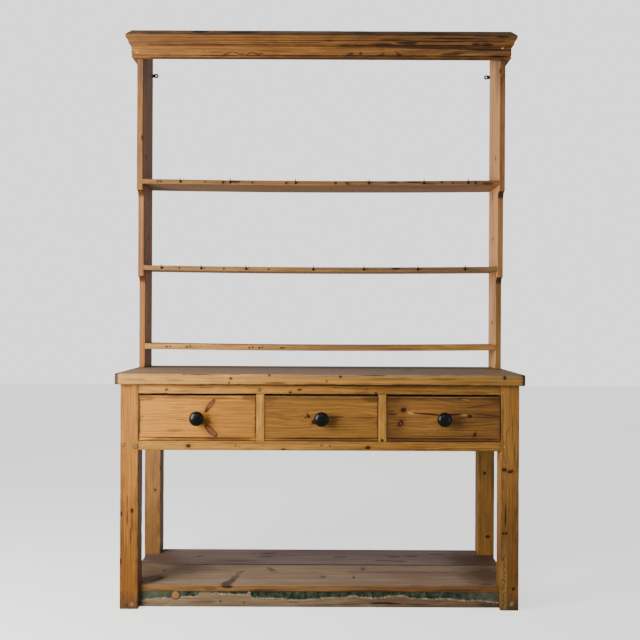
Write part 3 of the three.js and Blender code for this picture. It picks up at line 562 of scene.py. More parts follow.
dividers = {
    "drawer_divider_left": (-221, -193, []),
    "drawer_divider_right": (204, 232, [(589.5, 217, 5.5, 5.5, 14, 0)]),
}
for lot, (node, (left, right, knots)) in enumerate(dividers.items(), 7):
    low, high = (left, front_face, opening_low), (right, rail_back, opening_high)
    finish = pine("waxed_pine_" + node, "Z", "X", low, high, ("e6a448", "b47a2c", "cc8e3c"),
                  pith=(30, 30), spacing=3.6, lot=lot, bend=14,
                  knots=on_face(front_face, knots))
    board(node, "frame", "waxed_pine", finish, "z", low, high, arris=1.5, seed=lot)

# --- Panels, runners and kickers ----------------------------------------------------------
# Wide pine panels tongued into the legs at the ends and the back, and the plain sawn strips
# that carry the drawers. The end panels are waxed brown, the hidden boards were left bare and
# have gone dull and grey.


def corners_of(node):
    """The corners of a node's box, in mm."""
    return [[1000 * c for c in corner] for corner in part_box(node)]


bare_hues = ("a98a62", "86643c", "967650")
hidden = {"end_panel_left": "YZ", "end_panel_right": "YZ", "back_panel": "XZ"}
for part in ("runner", "kicker"):
    for where in ("left_end", "left_middle", "right_middle", "right_end"):
        hidden[part + "_" + where] = "YX"
hidden.update({"low_side_rail_left": "YZ", "low_side_rail_right": "YZ", "low_back_rail": "XZ"})
for lot, (node, axes) in enumerate(hidden.items(), 9):
    waxed = node.startswith(("end_panel", "low_side"))
    name = ("waxed_pine_" if waxed else "bare_pine_") + node
    hues = ("ab7a42", "825224", "946232") if waxed else bare_hues
    finish = pine(name, *axes, *corners_of(node), hues, pith=(20, 70), spacing=4.6, lot=lot,
                  grime=0.3, shine=0.46 if waxed else 0.66)
    for slot in nodes[node].material_slots:
        slot.material = finish

# --- Worktop ------------------------------------------------------------------------------
# Two wide pine boards, edge to edge, nailed down to the frame. The top has gone grey-brown
# from a century of use, and its front arris is soft and full of dents.
worktop_end, worktop_front, worktop_seam = 711.5, -226, 113.5
low = (-worktop_end, worktop_front, worktop_under)
high = (worktop_end, worktop_seam, worktop_top)
worktop_knots = on_edge(worktop_front, [
    (-308, 805.4, 4.4, 7, 4, 0), (-314, 789.5, 2.6, 6, 3, 0), (-175, 818, 4, 6, 4, 0),
    (70.7, 812, 4, 7, 4, 0), (23, 797, 2.2, 5, 2.4, 0), (638, 811, 5, 7, 6, 20)])
worktop_knots += on_face(worktop_top, [
    (-120, -60, 12, 9, 8, 0), (330, 10, 14, 10, 8, 0), (560, -110, 10, 8, 8, 0)])
# The first mark, a dark line along the lower arris, is painted shade in the gap over the rail.
worktop_marks = on_edge(worktop_front, [
    (0, 782.5, 700, 6, 3.4, 0, "1e1008", 0.85), (-408, 819.5, 62, 6, 2.2, 0, "2a1408", 0.85),
    (-294, 818.6, 34, 6, 1.8, 0, "3a2010", 0.7), (-470, 820, 7, 6, 4, 0, "2a1408", 0.8),
    (180, 817.5, 56, 6, 2, 0, "4a2a12", 0.75), (-158, 790, 42, 6, 2.4, 0, "2a1408", 0.8),
    (-640, 801, 44, 6, 2.4, 0, "7a4e22", 0.6), (-500, 799, 30, 6, 4, 0, "9a6830", 0.6),
    (-250, 807, 80, 6, 2.2, 0, "8a5c2c", 0.5), (250, 806, 80, 6, 2.4, 0, "7a4e22", 0.6),
    (430, 806, 60, 6, 6, 0, "7a4e22", 0.5), (560, 796, 60, 6, 2.2, 0, "6a4018", 0.6),
    (-20, 787, 80, 6, 2.2, 0, "4a2a12", 0.6), (330, 785, 120, 6, 2.6, 0, "3a1f0c", 0.7)])
# Then the end grain at the front corners, and dust by the rack and along the seam.
worktop_marks += [
    (-713, -218, 801, 16, 60, 120, 0, "30180c", 0.95),
    (713, -218, 801, 14, 60, 120, 0, "442810", 0.92), (-690, 90, 820, 20, 34, 6, 0, "33241a", 0.7),
    (690, 90, 820, 20, 34, 6, 0, "33241a", 0.5), (0, 113.5, 820, 720, 5, 3, 0, "1c120c", 0.8)]
# The pale wash at the left of the front edge is painted light from the window.
worktop_washes = on_edge(worktop_front, [(-450, 801, 420, 30, 60, 0, "f8b45c", 0.5)])
worktop_washes += on_face(worktop_top, [
    (400, -120, 260, 110, 7, 0, "77655c", 0.45), (20, -60, 560, 130, 7, 0, "a59488", 0.6),
    (-660, -110, 110, 200, 8, 0, "c8a478", 0.3), (680, -110, 80, 200, 8, 0, "b08a58", 0.6),
    # The pale band along the front of the top is wear and painted highlight.
    (250, -226, 560, 56, 9, 0, "c29c76", 0.5)])
front_lot, rear_lot = 23, 24
finish = pine("worn_worktop_pine_front", "X", "Y", low, high, ("ac8d69", "785b40", "927456"),
              pith=(-60, 90), spacing=6.0, lot=front_lot, bend=34, grime=0.35, wear=0.3,
              end="3a2617", lines=0.8, knots=worktop_knots, marks=worktop_marks,
              washes=worktop_washes, front=("dca058", 0.45, 1.12, 1.6, (0, -1, 0)))
corner_radius = 9
rings = []
for x, shrink in stations(-worktop_end, worktop_end, 14, 1.4):
    inset = max(0.0, corner_radius - (worktop_end - abs(x)))
    back_in = corner_radius - math.sqrt(max(0.0, corner_radius ** 2 - inset * inset))
    front = worktop_front + back_in + 0.5 * noise.noise((x / 90, 3.0, 1.0))
    rear, bottom, top = worktop_seam - shrink, worktop_under + shrink, worktop_top - shrink
    corners = [(front, bottom), (rear, bottom), (rear, top), (front, top)]
    radii = [worn(x, 0, front_lot, 4.0), 1.0, 1.0, worn(x, 3, front_lot, 6.0)]
    rings.append([(x, y, z) for y, z in eased(corners, radii, 4)])
lofted("worktop_front_board_worn", rings, finish, "frame", "worktop_pine", "worktop_front_board")

# The board behind it, under the rack, is painted darker: painted shade under the bottom shelf.
low = (-worktop_end, worktop_seam + 1, worktop_under)
high = (worktop_end, back_face, worktop_top)
finish = pine("worn_worktop_pine_rear", "X", "Y", low, high, ("836444", "594027", "6c5237"),
              pith=(40, 80), spacing=5.0, lot=rear_lot, grime=0.5, wear=0.15, end="33221a",
              knots=on_face(worktop_top, [(-380, 175, 12, 8, 10, 0), (90, 150, 10, 8, 10, 0)]))
board("worktop_rear_board", "frame", "worktop_pine", finish, "x", low, high, arris=1.6,
      seed=rear_lot)

# --- Pot board ----------------------------------------------------------------------------
# Two boards notched round the legs, lying on the low rails. Pots and boots have worn their
# tops dull grey-brown; the front edge keeps its orange pine colour under the wax.


def sawn_shape(node, slot, finish, outline, low, high, arris, seed, flat):
    """A board sawn to an outline in mm, with its arrises eased. flat turns a point of the
    outline and a height through the board into a place."""
    dense = []
    for i, corner in enumerate(outline):
        here, ahead = Vector(corner), Vector(outline[(i + 1) % len(outline)])
        count = max(1, round((ahead - here).length / 30))
        dense += [here.lerp(ahead, k / count) for k in range(count)]
    rings = []
    for level, inset in ((low, 1.0), (low + arris * 0.3, 0.3), (low + arris, 0.0),
                         (high - arris, 0.0), (high - arris * 0.3, 0.3), (high, 1.0)):
        ring = []
        for i, here in enumerate(dense):
            back = (here - dense[i - 1]).normalized()
            ahead = (dense[(i + 1) % len(dense)] - here).normalized()
            normal = Vector((back.y + ahead.y, -back.x - ahead.x)).normalized()
            open_up = 1 / max(0.5, normal.dot(Vector((ahead.y, -ahead.x))))
            rub = 0.35 * noise.noise((here.x / 37, here.y / 37, seed * 2.3)) + 0.35
            ring.append(flat(here - normal * open_up * (inset * arris + rub), level))
        rings.append(ring)
    lofted(node + "_worn", rings, finish, "frame", slot, node)


pot_end, pot_front, pot_under, pot_top = 684, -188, 56, 78
pot_seam = 44.8
notch = leg_inner - 0.5
notch_front, notch_back = front_face + leg_width + 0.5, back_leg_front - 0.5
pot_boards = {
    "pot_board_front": {
        "outline": [
            (-notch, pot_front), (notch, pot_front), (notch, notch_front), (pot_end, notch_front),
            (pot_end, pot_seam), (-pot_end, pot_seam), (-pot_end, notch_front),
            (-notch, notch_front)],
        "hues": ("ad9074", "7b644f", "937a61"),
        "knots": [
            (-573, -118, 16, 11, 12, 35), (-572, -25, 7, 14, 12, 0), (-178, -14, 18, 7, 12, -60),
            (14, -95, 9, 10, 12, 0), (163, -4, 7, 14, 12, 0), (590, -165, 18, 10, 12, 0)],
        "marks": [
            (-322, -160, 50, 18, 12, 66, "3a2a26", 0.8),
            (-305, -108, 34, 13, 12, 74, "4c3a34", 0.65),
            (-290, -50, 26, 10, 12, 62, "4c3a34", 0.6), (-580, -135, 40, 14, 12, 60, "40301f", 0.7),
            (125, -98, 5, 18, 12, 0, "33241c", 0.75), (0, 45, 700, 5, 4, 0, "1a100a", 0.95),
            (-100, -60, 260, 5, 12, 0, "6a5440", 0.5), (330, -40, 230, 14, 12, 0, "584436", 0.5),
            (-140, -188, 560, 4, 3, 0, "c89458", 0.5)],
        "edge_marks": [
            (-381, 67, 26, 6, 8, 0, "6a4422", 0.5), (-189, 61, 50, 6, 4, 0, "3a200c", 0.6),
            (-323, 73, 19, 12, 7, 0, "2a1a14", 0.9), (200, 60, 110, 6, 3.4, 0, "4a2a10", 0.7),
            (480, 63, 90, 6, 3.2, 0, "4a2a10", 0.7), (-560, 60, 60, 6, 3, 0, "5a3818", 0.6),
            (0, 56, 640, 6, 3, 0, "2a1408", 0.75), (420, 66, 300, 6, 30, 0, "6a3c0c", 0.3)],
        # The three dark washes at the ends are painted shadow of the legs.
        "washes": [
            (-640, -20, 50, 90, 12, 0, "5a3c20", 0.6), (-500, 10, 90, 60, 12, 0, "4a3822", 0.5),
            (610, -60, 90, 120, 12, 0, "4a3016", 0.8), (357, -95, 80, 54, 12, 0, "94664a", 0.35)],
    },
    "pot_board_rear": {
        "outline": [
            (-pot_end, pot_seam + 1), (pot_end, pot_seam + 1), (pot_end, notch_back),
            (notch, notch_back), (notch, back_face), (-notch, back_face), (-notch, notch_back),
            (-pot_end, notch_back)],
        "hues": ("9a8076", "6c564c", "826b60"),
        "knots": [
            (-471, 148, 9, 7, 12, 0), (-207, 149, 20, 7, 12, 10), (309, 94, 16, 7, 12, 0)],
        "marks": [
            (86, 146, 32, 8, 12, 8, "352a2c", 0.7), (293, 149, 30, 8, 12, -5, "352a2c", 0.7),
            (366, 159, 28, 8, 12, 0, "352a2c", 0.75), (463, 186, 32, 8, 12, 5, "352a2c", 0.65),
            (0, 46, 700, 5, 4, 0, "1a100a", 0.95), (-300, 90, 90, 7, 12, 0, "3a2c2a", 0.6),
            (-200, 190, 34, 8, 12, 6, "2c2024", 0.7), (250, 100, 40, 7, 12, 0, "33262a", 0.6)],
        "edge_marks": [],
        # Both washes are painted shadow of the legs.
        "washes": [
            (-610, 120, 90, 120, 12, 0, "4a3016", 0.7),
            (610, 110, 100, 110, 12, 0, "4a3014", 0.85)],
    },
}
for lot, (node, plank) in enumerate(pot_boards.items(), 25):
    depths = [y for _, y in plank["outline"]]
    low, high = (-pot_end, min(depths), pot_under), (pot_end, max(depths), pot_top)
    marks = on_face(pot_top, plank["marks"]) + on_edge(pot_front, plank["edge_marks"])
    finish = pine("worn_pot_board_pine_" + node, "X", "Y", low, high, plank["hues"],
                  pith=(30, 80), spacing=6.0, lot=lot, bend=34, grime=0.3, wear=0.25,
                  shine=0.56, heart="6e5648", rim="4e3a31", marks=marks,
                  knots=on_face(pot_top, plank["knots"]),
                  washes=on_face(pot_top, plank["washes"]),
                  front=("b4783a", 0.5, 0.72, 1.35, (0, -1, 0)))
    sawn_shape(node, "pot_board_pine", finish, plank["outline"], pot_under, pot_top, arris=1.4,
               seed=lot, flat=lambda point, level: (point.x, point.y, level))

# --- Kickboard ----------------------------------------------------------------------------
# A board on edge between the front legs. It was painted green with the rest of the dresser
# once; when that was stripped, a ragged band of paint stayed under the pot board.
kick_front, kick_back = front_face + 22, front_face + 42
low, high = (-leg_inner, kick_front, 2), (leg_inner, kick_back, pot_under)
kick_marks = [
    (215, 17, 44, 3.6, 14, 1, "34160c", 0.95), (262, 15, 30, 2.6, 14, -2, "34160c", 0.9),
    (340, 13, 60, 2.2, 14, 0, "4a2a1a", 0.7), (-420, 18, 60, 2.4, 14, 0, "6a5038", 0.6),
    (60, 12, 90, 2.2, 14, 0, "5a4430", 0.6), (0, 2, 640, 3, 14, 0, "2a2018", 0.7),
    # The dark bands at both ends, where the board meets the legs, are painted shade.
    (-90, 20, 30, 1.6, 14, 0, "5a3c28", 0.6), (-630, 30, 6, 44, 14, 0, "150c07", 0.9),
    (630, 30, 7, 44, 14, 0, "150c07", 0.9), (0, 56, 640, 3, 14, 0, "150c07", 0.8),
    (600, 12, 50, 9, 14, 0, "3c3836", 0.6)]
finish = pine("stripped_pine_with_old_green_paint", "X", "Z", low, high,
              ("a58b68", "745c41", "917657"), pith=(-10, 34), spacing=3.2, lot=27, bend=20,
              grime=0.3, wear=0.2, shine=0.6, marks=on_face(kick_front, kick_marks),
              knots=on_face(kick_front, [(-345, 21, 3, 2.6, 14, 0), (-263, 17, 2.6, 2.2, 14, 0)]),
              washes=on_face(kick_front, [(430, 26, 380, 60, 20, 0, "664020", 0.5)]))
tree = finish.node_tree
shader = tree.nodes["Principled BSDF"]
stripped, dull, flat_relief = [shader.inputs[title].links[0].from_socket
                               for title in ("Base Color", "Roughness", "Normal")]
spot = add(tree, "TexCoord", {}).outputs["Object"]
split = add(tree, "SeparateXYZ", {0: spot})
half = leg_inner / 1000
share = add(tree, "MapRange", {"Value": split.outputs[0], "From Min": -half, "From Max": half})
# How low the paint reaches along the board, in mm over the floor. A ramp holds 0 to 1, so it
# carries this in tenths of a metre.
paint_edge = [
    (-630, 24), (-577, 31), (-525, 33), (-480, 38), (-424, 39), (-414, 62), (-384, 62),
    (-378, 48), (-364, 49), (-358, 62), (-352, 49), (-342, 50), (-338, 47), (-252, 46.5),
    (-244, 62), (-237, 34), (-135, 33), (-104, 28.5), (-41, 28.7), (25, 36.4), (89, 36.6),
    (120, 44), (150, 37), (200, 35), (262, 44), (300, 44), (317, 36), (400, 33), (452, 36),
    (503, 28), (560, 30), (630, 20)]
line = add(tree, "ValToRGB", {0: share}, stops=[
    ((x + leg_inner) / (2 * leg_inner), z / 100) for x, z in paint_edge])
line = add(tree, "Math", {0: line, 1: 0.1}, operation="MULTIPLY")
# The edge is torn by up to 13.5 mm either way, and chipped through in flakes of about 5 mm.
ragged = add(tree, "TexNoise", {"Vector": spot, "Scale": 150.0, "Detail": 5.0, "Roughness": 0.7})
ragged = add(tree, "Math", {0: ragged, 1: 0.027, 2: -0.0135}, operation="MULTIPLY_ADD")
above = add(tree, "Math", {0: split.outputs[2], 1: line}, operation="SUBTRACT")
above = add(tree, "Math", {0: above, 1: ragged}, operation="ADD")
chips = add(tree, "TexNoise", {"Vector": spot, "Scale": 210.0, "Detail": 3.0, "Roughness": 0.6})
left_on = add(tree, "MapRange", {"Value": chips, "From Min": 0.3, "From Max": 0.42,
                                 "To Min": -0.006})
above = add(tree, "Math", {0: above, 1: left_on}, operation="MINIMUM")
painted = add(tree, "MapRange", {"Value": above, "From Min": 0.0, "From Max": 0.0008})
primed = add(tree, "MapRange", {"Value": above, "From Min": -0.004, "From Max": -0.0028})
# Old oil paint, matt, and mottled from nearly black to grey-green in patches of 20 mm.
mottle = add(tree, "TexNoise", {"Vector": spot, "Scale": 48.0, "Detail": 5.0, "Roughness": 0.62})
green = add(tree, "ValToRGB", {0: mottle}, stops=[
    (0.37, linear("10110c")), (0.43, linear("272b1c")), (0.54, linear("3c4833")),
    (0.63, linear("545a3f")), (0.73, linear("7c7a5c"))])
# It has chalked to grey towards both ends.
aside = add(tree, "Math", {0: share, 1: 0.5}, operation="SUBTRACT")
aside = add(tree, "Math", {0: aside}, operation="ABSOLUTE")
chalky = add(tree, "MapRange", {"Value": aside, "From Min": 0.37, "From Max": 0.46,
                                "To Max": 0.42})
green = add(tree, "Mix", {0: chalky, 6: green, 7: linear("7c7c62")}, data_type="RGBA")
# The primer shows along the broken edge here and there.
bared = add(tree, "MapRange", {"Value": mottle, "From Min": 0.42, "From Max": 0.56,
                               "To Min": 0.15})
primed = add(tree, "Math", {0: primed, 1: bared}, operation="MULTIPLY")
primer = add(tree, "Mix", {0: primed, 6: stripped, 7: linear("c4b08e")}, data_type="RGBA")
coat = add(tree, "Mix", {0: painted, 6: primer, 7: green}, data_type="RGBA")
matt = add(tree, "Mix", {0: painted, 2: dull, 3: 0.62}, data_type="FLOAT")
film = add(tree, "Bump", {"Height": painted, "Strength": 0.8, "Distance": 0.0004,
                          "Normal": flat_relief})
feed(shader, {"Base Color": coat, "Roughness": matt.outputs[0], "Normal": film})
board("kickboard", "frame", "painted_pine", finish, "x", low, high, arris=1.4, seed=27, spacing=18)

# --- Drawers ------------------------------------------------------------------------------
# Three dovetailed boxes. The pine fronts have a bead scratched along the bottom and are waxed;
# grease from hands has darkened them towards the edges. The boxes behind were left bare.


def softened(node, body, slot, finish, width):
    """A copy of a node's mesh with its flats joined up and its arrises eased by width mm."""
    shape = bmesh.new()
    shape.from_mesh(nodes[node].data)
    bmesh.ops.remove_doubles(shape, verts=shape.verts, dist=0.00002)
    bmesh.ops.dissolve_limit(shape, angle_limit=math.radians(1), verts=shape.verts,
                             edges=shape.edges)
    made = fit(node + "_eased", shape, finish, body, slot, node)
    ease = made.modifiers.new("eased_arrises", "BEVEL")
    ease.width = width / 1000
    ease.segments = 2
    ease.limit_method = "ANGLE"
    ease.angle_limit = math.radians(35)
    made.modifiers.move(1, 0)


front_low, front_high, front_back = 586.5, 745, front_face + 22
# gaps: the dark band in the gap at the left of each front, dirt and painted shade, as half its
# width and a strength, and the strength at its right.
# The fronts' hues run from pale at the left drawer to dark at the right one, the left drawer's
# orange wash lightens it and the right drawer's last wash darkens its end: painted light and
# painted shade, for the window at the left.
drawers = {
    "left": {
        "ends": (-629, -222), "hues": ("d8933a", "b07226", "c6822f"), "heart": "8a5430",
        "gaps": (5.0, 0.95, 0.85),
        "knots": [
            (-381, 710, 29.5, 7.5, 14, 53.5), (-378, 622, 28, 10.5, 14, -43)],
        "marks": [
            (-392, 695, 9, 7, 8, 53, "3a1410", 0.7), (-390, 673, 9, 1.4, 6, 25, "5a2e14", 0.7),
            (-387, 664, 11, 1.4, 6, 5, "5a2e14", 0.7), (-389, 655, 10, 1.4, 6, -20, "5a2e14", 0.7),
            (-393, 646, 9, 1.4, 6, -42, "5a2e14", 0.6), (-491, 701, 26, 3, 8, 0, "8a5a28", 0.5),
            (-505, 622, 30, 6, 8, 0, "8a5a28", 0.45), (-576, 657, 30, 4, 8, 0, "9a6a34", 0.4),
            (-480, 659, 20, 1.6, 8, -8, "6a3c18", 0.6)],
        "washes": [
            (-540, 660, 200, 110, 14, 0, "f8a038", 0.35),
            (-290, 660, 90, 110, 14, 0, "a8642a", 0.25)],
    },
    "middle": {
        "ends": (-192, 203), "hues": ("b47c36", "805018", "9c6826"), "heart": "2a1208",
        "gaps": (3.4, 0.3, 0.75),
        "knots": [
            (-19, 653, 10, 8, 14, 0), (-40, 673, 6, 5, 14, -20), (-50, 668, 2.4, 3.4, 14, 0)],
        "marks": [
            (56, 671, 34, 2.6, 6, 0, "3a1c0c", 0.85), (150, 669, 70, 2.2, 6, 1, "4a2810", 0.75),
            (56, 664, 20, 2.2, 6, -8, "4a2810", 0.7), (-167, 712, 12, 1.8, 6, 12, "5a3418", 0.6),
            (-120, 663, 30, 2, 6, -6, "5a3418", 0.6), (-44, 682, 3, 5, 6, 20, "3a1c0c", 0.6),
            (-110, 690, 40, 1.4, 6, -3, "6a4018", 0.5), (90, 628, 60, 3, 6, 0, "6a4018", 0.4)],
        "washes": [],
    },
    "right": {
        "ends": (233, 629), "hues": ("ac7430", "70461a", "905e26"), "heart": "2a1208",
        "gaps": (3.4, 0.55, 0.75),
        "knots": [
            (290.7, 697, 10, 7, 14, 0), (281, 650, 13, 8.5, 14, 58), (522, 675, 9, 6, 14, 0),
            (496, 741, 15, 5, 14, 0), (538.6, 611, 4, 8, 14, -20)],
        "marks": [
            (281, 650, 5, 3, 8, 58, "9a6028", 0.8), (316, 687, 13, 5, 8, -15, "d8a458", 0.6),
            (501, 679, 12, 4.4, 8, 5, "d8a458", 0.6), (506, 733, 15, 2.4, 8, -8, "c89452", 0.5),
            (372, 683, 52, 3.4, 8, -5, "30120a", 0.95), (458, 681, 36, 3.6, 8, 2, "30120a", 0.95),
            (345, 685, 26, 2.6, 8, -8, "5a2a12", 0.8), (500, 670, 30, 2.6, 8, 8, "5a2a12", 0.7),
            (580, 680, 60, 2.6, 8, -5, "4a2410", 0.85), (575, 672, 60, 2.3, 8, 0, "4a2410", 0.8),
            (250, 682, 19, 4, 8, 0, "40200e", 0.85), (246, 692, 12, 2.6, 8, 20, "40200e", 0.75),
            (420, 726, 90, 3, 8, -14, "b07838", 0.5), (560, 712, 60, 3, 8, 8, "5a3414", 0.6),
            (560, 645, 70, 2.4, 8, 4, "5a3414", 0.6), (330, 640, 60, 2.4, 8, -4, "5a3414", 0.5),
            (430, 605, 180, 2.6, 8, 1, "4a2a12", 0.6)],
        "washes": [
            (246, 650, 60, 110, 14, 0, "5a3410", 0.65), (350, 660, 90, 60, 14, 0, "c88a44", 0.3),
            (600, 700, 120, 70, 14, 0, "70461a", 0.35)],
    },
}
for lot, (title, drawer) in enumerate(drawers.items(), 28):
    body = "drawer_" + title
    left, right = drawer["ends"]
    middle = (left + right) / 2
    gap, left_dirt_and_shade, right_dirt_and_shade = drawer["gaps"]
    # Grease in the top corners, the scratched line and bead, dirt and painted shade in the gaps at
    # the sides, and the deep shadow of the gap over the front, painted on its top face.
    marks = on_face(front_face, [
        (left, front_high, 70, 24, 14, 0, "3a2410", 0.5),
        (right, front_high, 60, 24, 14, 0, "3a2410", 0.5),
        (middle, 735, 190, 6, 14, 0, "4a2d12", 0.4),
        (middle, 740.5, 190, 1.8, 14, 0, "d0a468", 0.5),
        (middle, 590, 210, 7, 14, 0, "5a3330", 0.5), (middle, 597, 215, 3, 14, 0, "1c0d06", 0.65),
        (left, 666, gap, 96, 14, 0, "120804", left_dirt_and_shade),
        (right, 666, 4.4, 96, 14, 0, "120804", right_dirt_and_shade)])
    inside = (front_face + front_back) / 2
    marks += [(middle, front_high + 0.4, inside, 330, 3.4, 60, 0, "0a0502", 0.97)]
    finish = pine("waxed_pine_front_" + title, "X", "Z", (left, front_face, front_low),
                  (right, front_back, front_high), drawer["hues"], pith=(14, 44), spacing=5.4,
                  lot=lot, bend=36, grime=0.4, wear=0.4, shine=0.42, heart=drawer["heart"],
                  lines=0.75, knots=on_face(front_face, drawer["knots"]),
                  washes=on_face(front_face, drawer["washes"]),
                  marks=marks + on_face(front_face, drawer["marks"]))
    softened(body + "_front", body, "waxed_pine", finish, 0.8)
    for part, axes in (("side_left", "YZ"), ("side_right", "YZ"), ("back", "XZ"), ("bottom", "XY")):
        node = body + "_" + part
        finish = pine("bare_pine_" + node, *axes, *corners_of(node), bare_hues, pith=(24, 60),
                      spacing=4.4, lot=lot * 3 + len(part), grime=0.25, shine=0.66)
        softened(node, body, "raw_pine", finish, 0.5)

# --- Knobs --------------------------------------------------------------------------------
# Turned in beech, 51 mm across, with a spigot glued through the drawer front, and painted
# gloss black, which shows one small sharp light. Fingers have rubbed the paint thin and
# brownish here and there.
ebonised, tree, shader = new_material("gloss_black_paint_on_beech")
spot = add(tree, "TexCoord", {}).outputs["Object"]
spots = add(tree, "TexNoise", {"Vector": spot, "Scale": 140.0, "Detail": 4.0})
tone = add(tree, "ValToRGB", {0: spots}, stops=[
    (0.3, linear("070707")), (0.6, linear("0e0c0c")), (0.78, linear("221812"))])
film = add(tree, "MapRange", {"Value": spots, "From Min": 0.3, "From Max": 0.75,
                              "To Min": 0.2, "To Max": 0.36})
brushed = add(tree, "TexNoise", {"Vector": spot, "Scale": 320.0, "Detail": 2.0})
ripple = add(tree, "Bump", {"Height": brushed, "Strength": 0.25, "Distance": 0.0004})
feed(shader, {"Base Color": tone, "Roughness": film, "Normal": ripple,
              "Specular IOR Level": 0.3})


def turned(shape, x, y, z, profile, sides, way=-1, lobes=0.0):
    """Adds a turned body to a mesh under work, from a profile of radii and how far each is
    out from x, y, z, in mm. way is -1 towards the front and 1 towards the back."""
    rings = []
    for radius, out in profile:
        ring = []
        for k in range(sides):
            turn = math.tau * k / sides
            wide = radius * (1 + lobes * math.sin(3 * k))
            ring.append((x + wide * math.cos(turn), y + way * out, z + radius * math.sin(turn)))
        rings.append(ring)
    skin(shape, rings)


# From the end of the spigot over the foot, the waist and the rim to the crown.
knob_profile = [
    (7.2, -21.8), (7.5, -21.2), (7.5, 0.2), (14.4, 0.2), (15.0, 0.9), (15.0, 2.2), (14.2, 3.5),
    (12.2, 4.4), (10.9, 6.2), (10.5, 8.5), (10.8, 10.8), (12.2, 13.2), (14.8, 15.2),
    (18.2, 16.6), (21.6, 17.8), (24.0, 19.6), (25.3, 22.0), (25.5, 24.2), (25.1, 26.6),
    (23.8, 29.6), (21.4, 32.4), (18.0, 34.8), (13.6, 36.7), (8.6, 37.7), (3.4, 38.0), (0.6, 38.0)]
for title, drawer in drawers.items():
    knob = "drawer_" + title + "_knob"
    shape = bmesh.new()
    turned(shape, sum(drawer["ends"]) / 2, front_face, (front_low + front_high) / 2,
           knob_profile, sides=48)
    fit(knob + "_turned", shape, ebonised, "drawer_" + title, "ebonised_wood", knob)

# --- Sides of the plate rack --------------------------------------------------------------
# One 22 mm pine board each, sawn to a stepped outline with a small cove under each step. The
# shelves are housed into their inner faces. Their broad faces are paler and pinker than the base,
# most of all on the right side, as painted light from the window; the faces that look forward
# and outward are toned darker and the coves painted dark, as painted shade.
rack_inner, rack_middle, rack_outer = 681, 692, 703
rack_fronts = (61, 88, 115)  # of the top, middle and bottom length
rack_top = 2083
step_heights = (1502, 1174)
lip, cove_deep, cove_high = 3, 24, 28
outline = [(back_face, worktop_top), (back_face, rack_top), (rack_fronts[0], rack_top)]
for front, level in zip(rack_fronts, step_heights):
    outline.append((front, level))
    for turn in (90, 75, 60, 45, 30, 15, 0):
        outline.append((front + lip + cove_deep * math.cos(math.radians(turn)),
                        level - cove_high + cove_high * math.sin(math.radians(turn))))
outline.append((rack_fronts[2], worktop_top))
# front and under are painted: the faces that look forward and outward darker, and the coves dark,
# as painted shade, most of all on the right.
rack_sides = {
    "rack_side_left": {
        "sign": -1, "hues": ("d79764", "a06940", "bc7f52"),
        "front": ("b47c48", 0.45, 0.62, 1.22, (-1, -1, 0)), "under": ("4a2810", 0.8), "knot": 1700,
        "washes": [
            (1300, 100, 190, 40, 40, 0, "7c4c28", 0.35),
            (2010, 80, 110, 60, 60, 0, "74564a", 0.45)],
    },
    "rack_side_right": {
        "sign": 1, "hues": ("f8b87c", "c8864c", "e09e60"),
        "front": ("a06c34", 0.45, 0.6, 1.05, (1, -1, 0)), "under": ("381a08", 0.92), "knot": 1963,
        "washes": [
            (2010, 80, 120, 60, 60, 0, "4c2c18", 0.6), (1060, 120, 140, 40, 40, 0, "683e14", 0.4)],
    },
}
for lot, (node, side) in enumerate(rack_sides.items(), 31):
    sign = side["sign"]
    inner, outer = sorted((sign * rack_inner, sign * rack_outer))
    knots = on_face(sign * (rack_inner + 2), [(side["knot"], rack_fronts[0], 11, 9, 5, 0)])
    knots += on_face(sign * rack_middle, [
        (1640, 130, 9, 7, 30, 0), (1330, 170, 8, 6, 30, 0), (1000, 180, 9, 7, 30, 0)])
    marks = on_face(sign * rack_inner, [
        (1500, 178, 26, 10, 5, 0, "5a3420", 0.6), (1180, 120, 60, 7, 5, 0, "6a4630", 0.5),
        (1380, 200, 110, 12, 5, 0, "8a6248", 0.35), (1720, 190, 150, 10, 5, 0, "8a6248", 0.35)])
    finish = pine("waxed_pine_" + node, "Z", "Y", (inner, rack_fronts[0], worktop_top),
                  (outer, back_face, rack_top), side["hues"], pith=(-20, 50), spacing=4.6,
                  lot=lot, bend=30, grime=0.35, front=side["front"], under=side["under"],
                  washes=on_face(sign * rack_middle, side["washes"]), marks=marks, knots=knots)
    sawn_shape(node, "waxed_pine", finish, outline, inner, outer, arris=1.5, seed=lot,
               flat=lambda point, level: (level, point.x, point.y))

# --- Shelves ------------------------------------------------------------------------------
# Three waxed pine boards housed into the rack sides. Their own weight and the plates have
# made them sag by 5 mm in the middle, and their front edges are rubbed soft.
shelf_back = 238


def sunk(x):
    """How far a shelf has sunk at x, in mm."""
    return 5 * (1 - (x / rack_inner) ** 2)


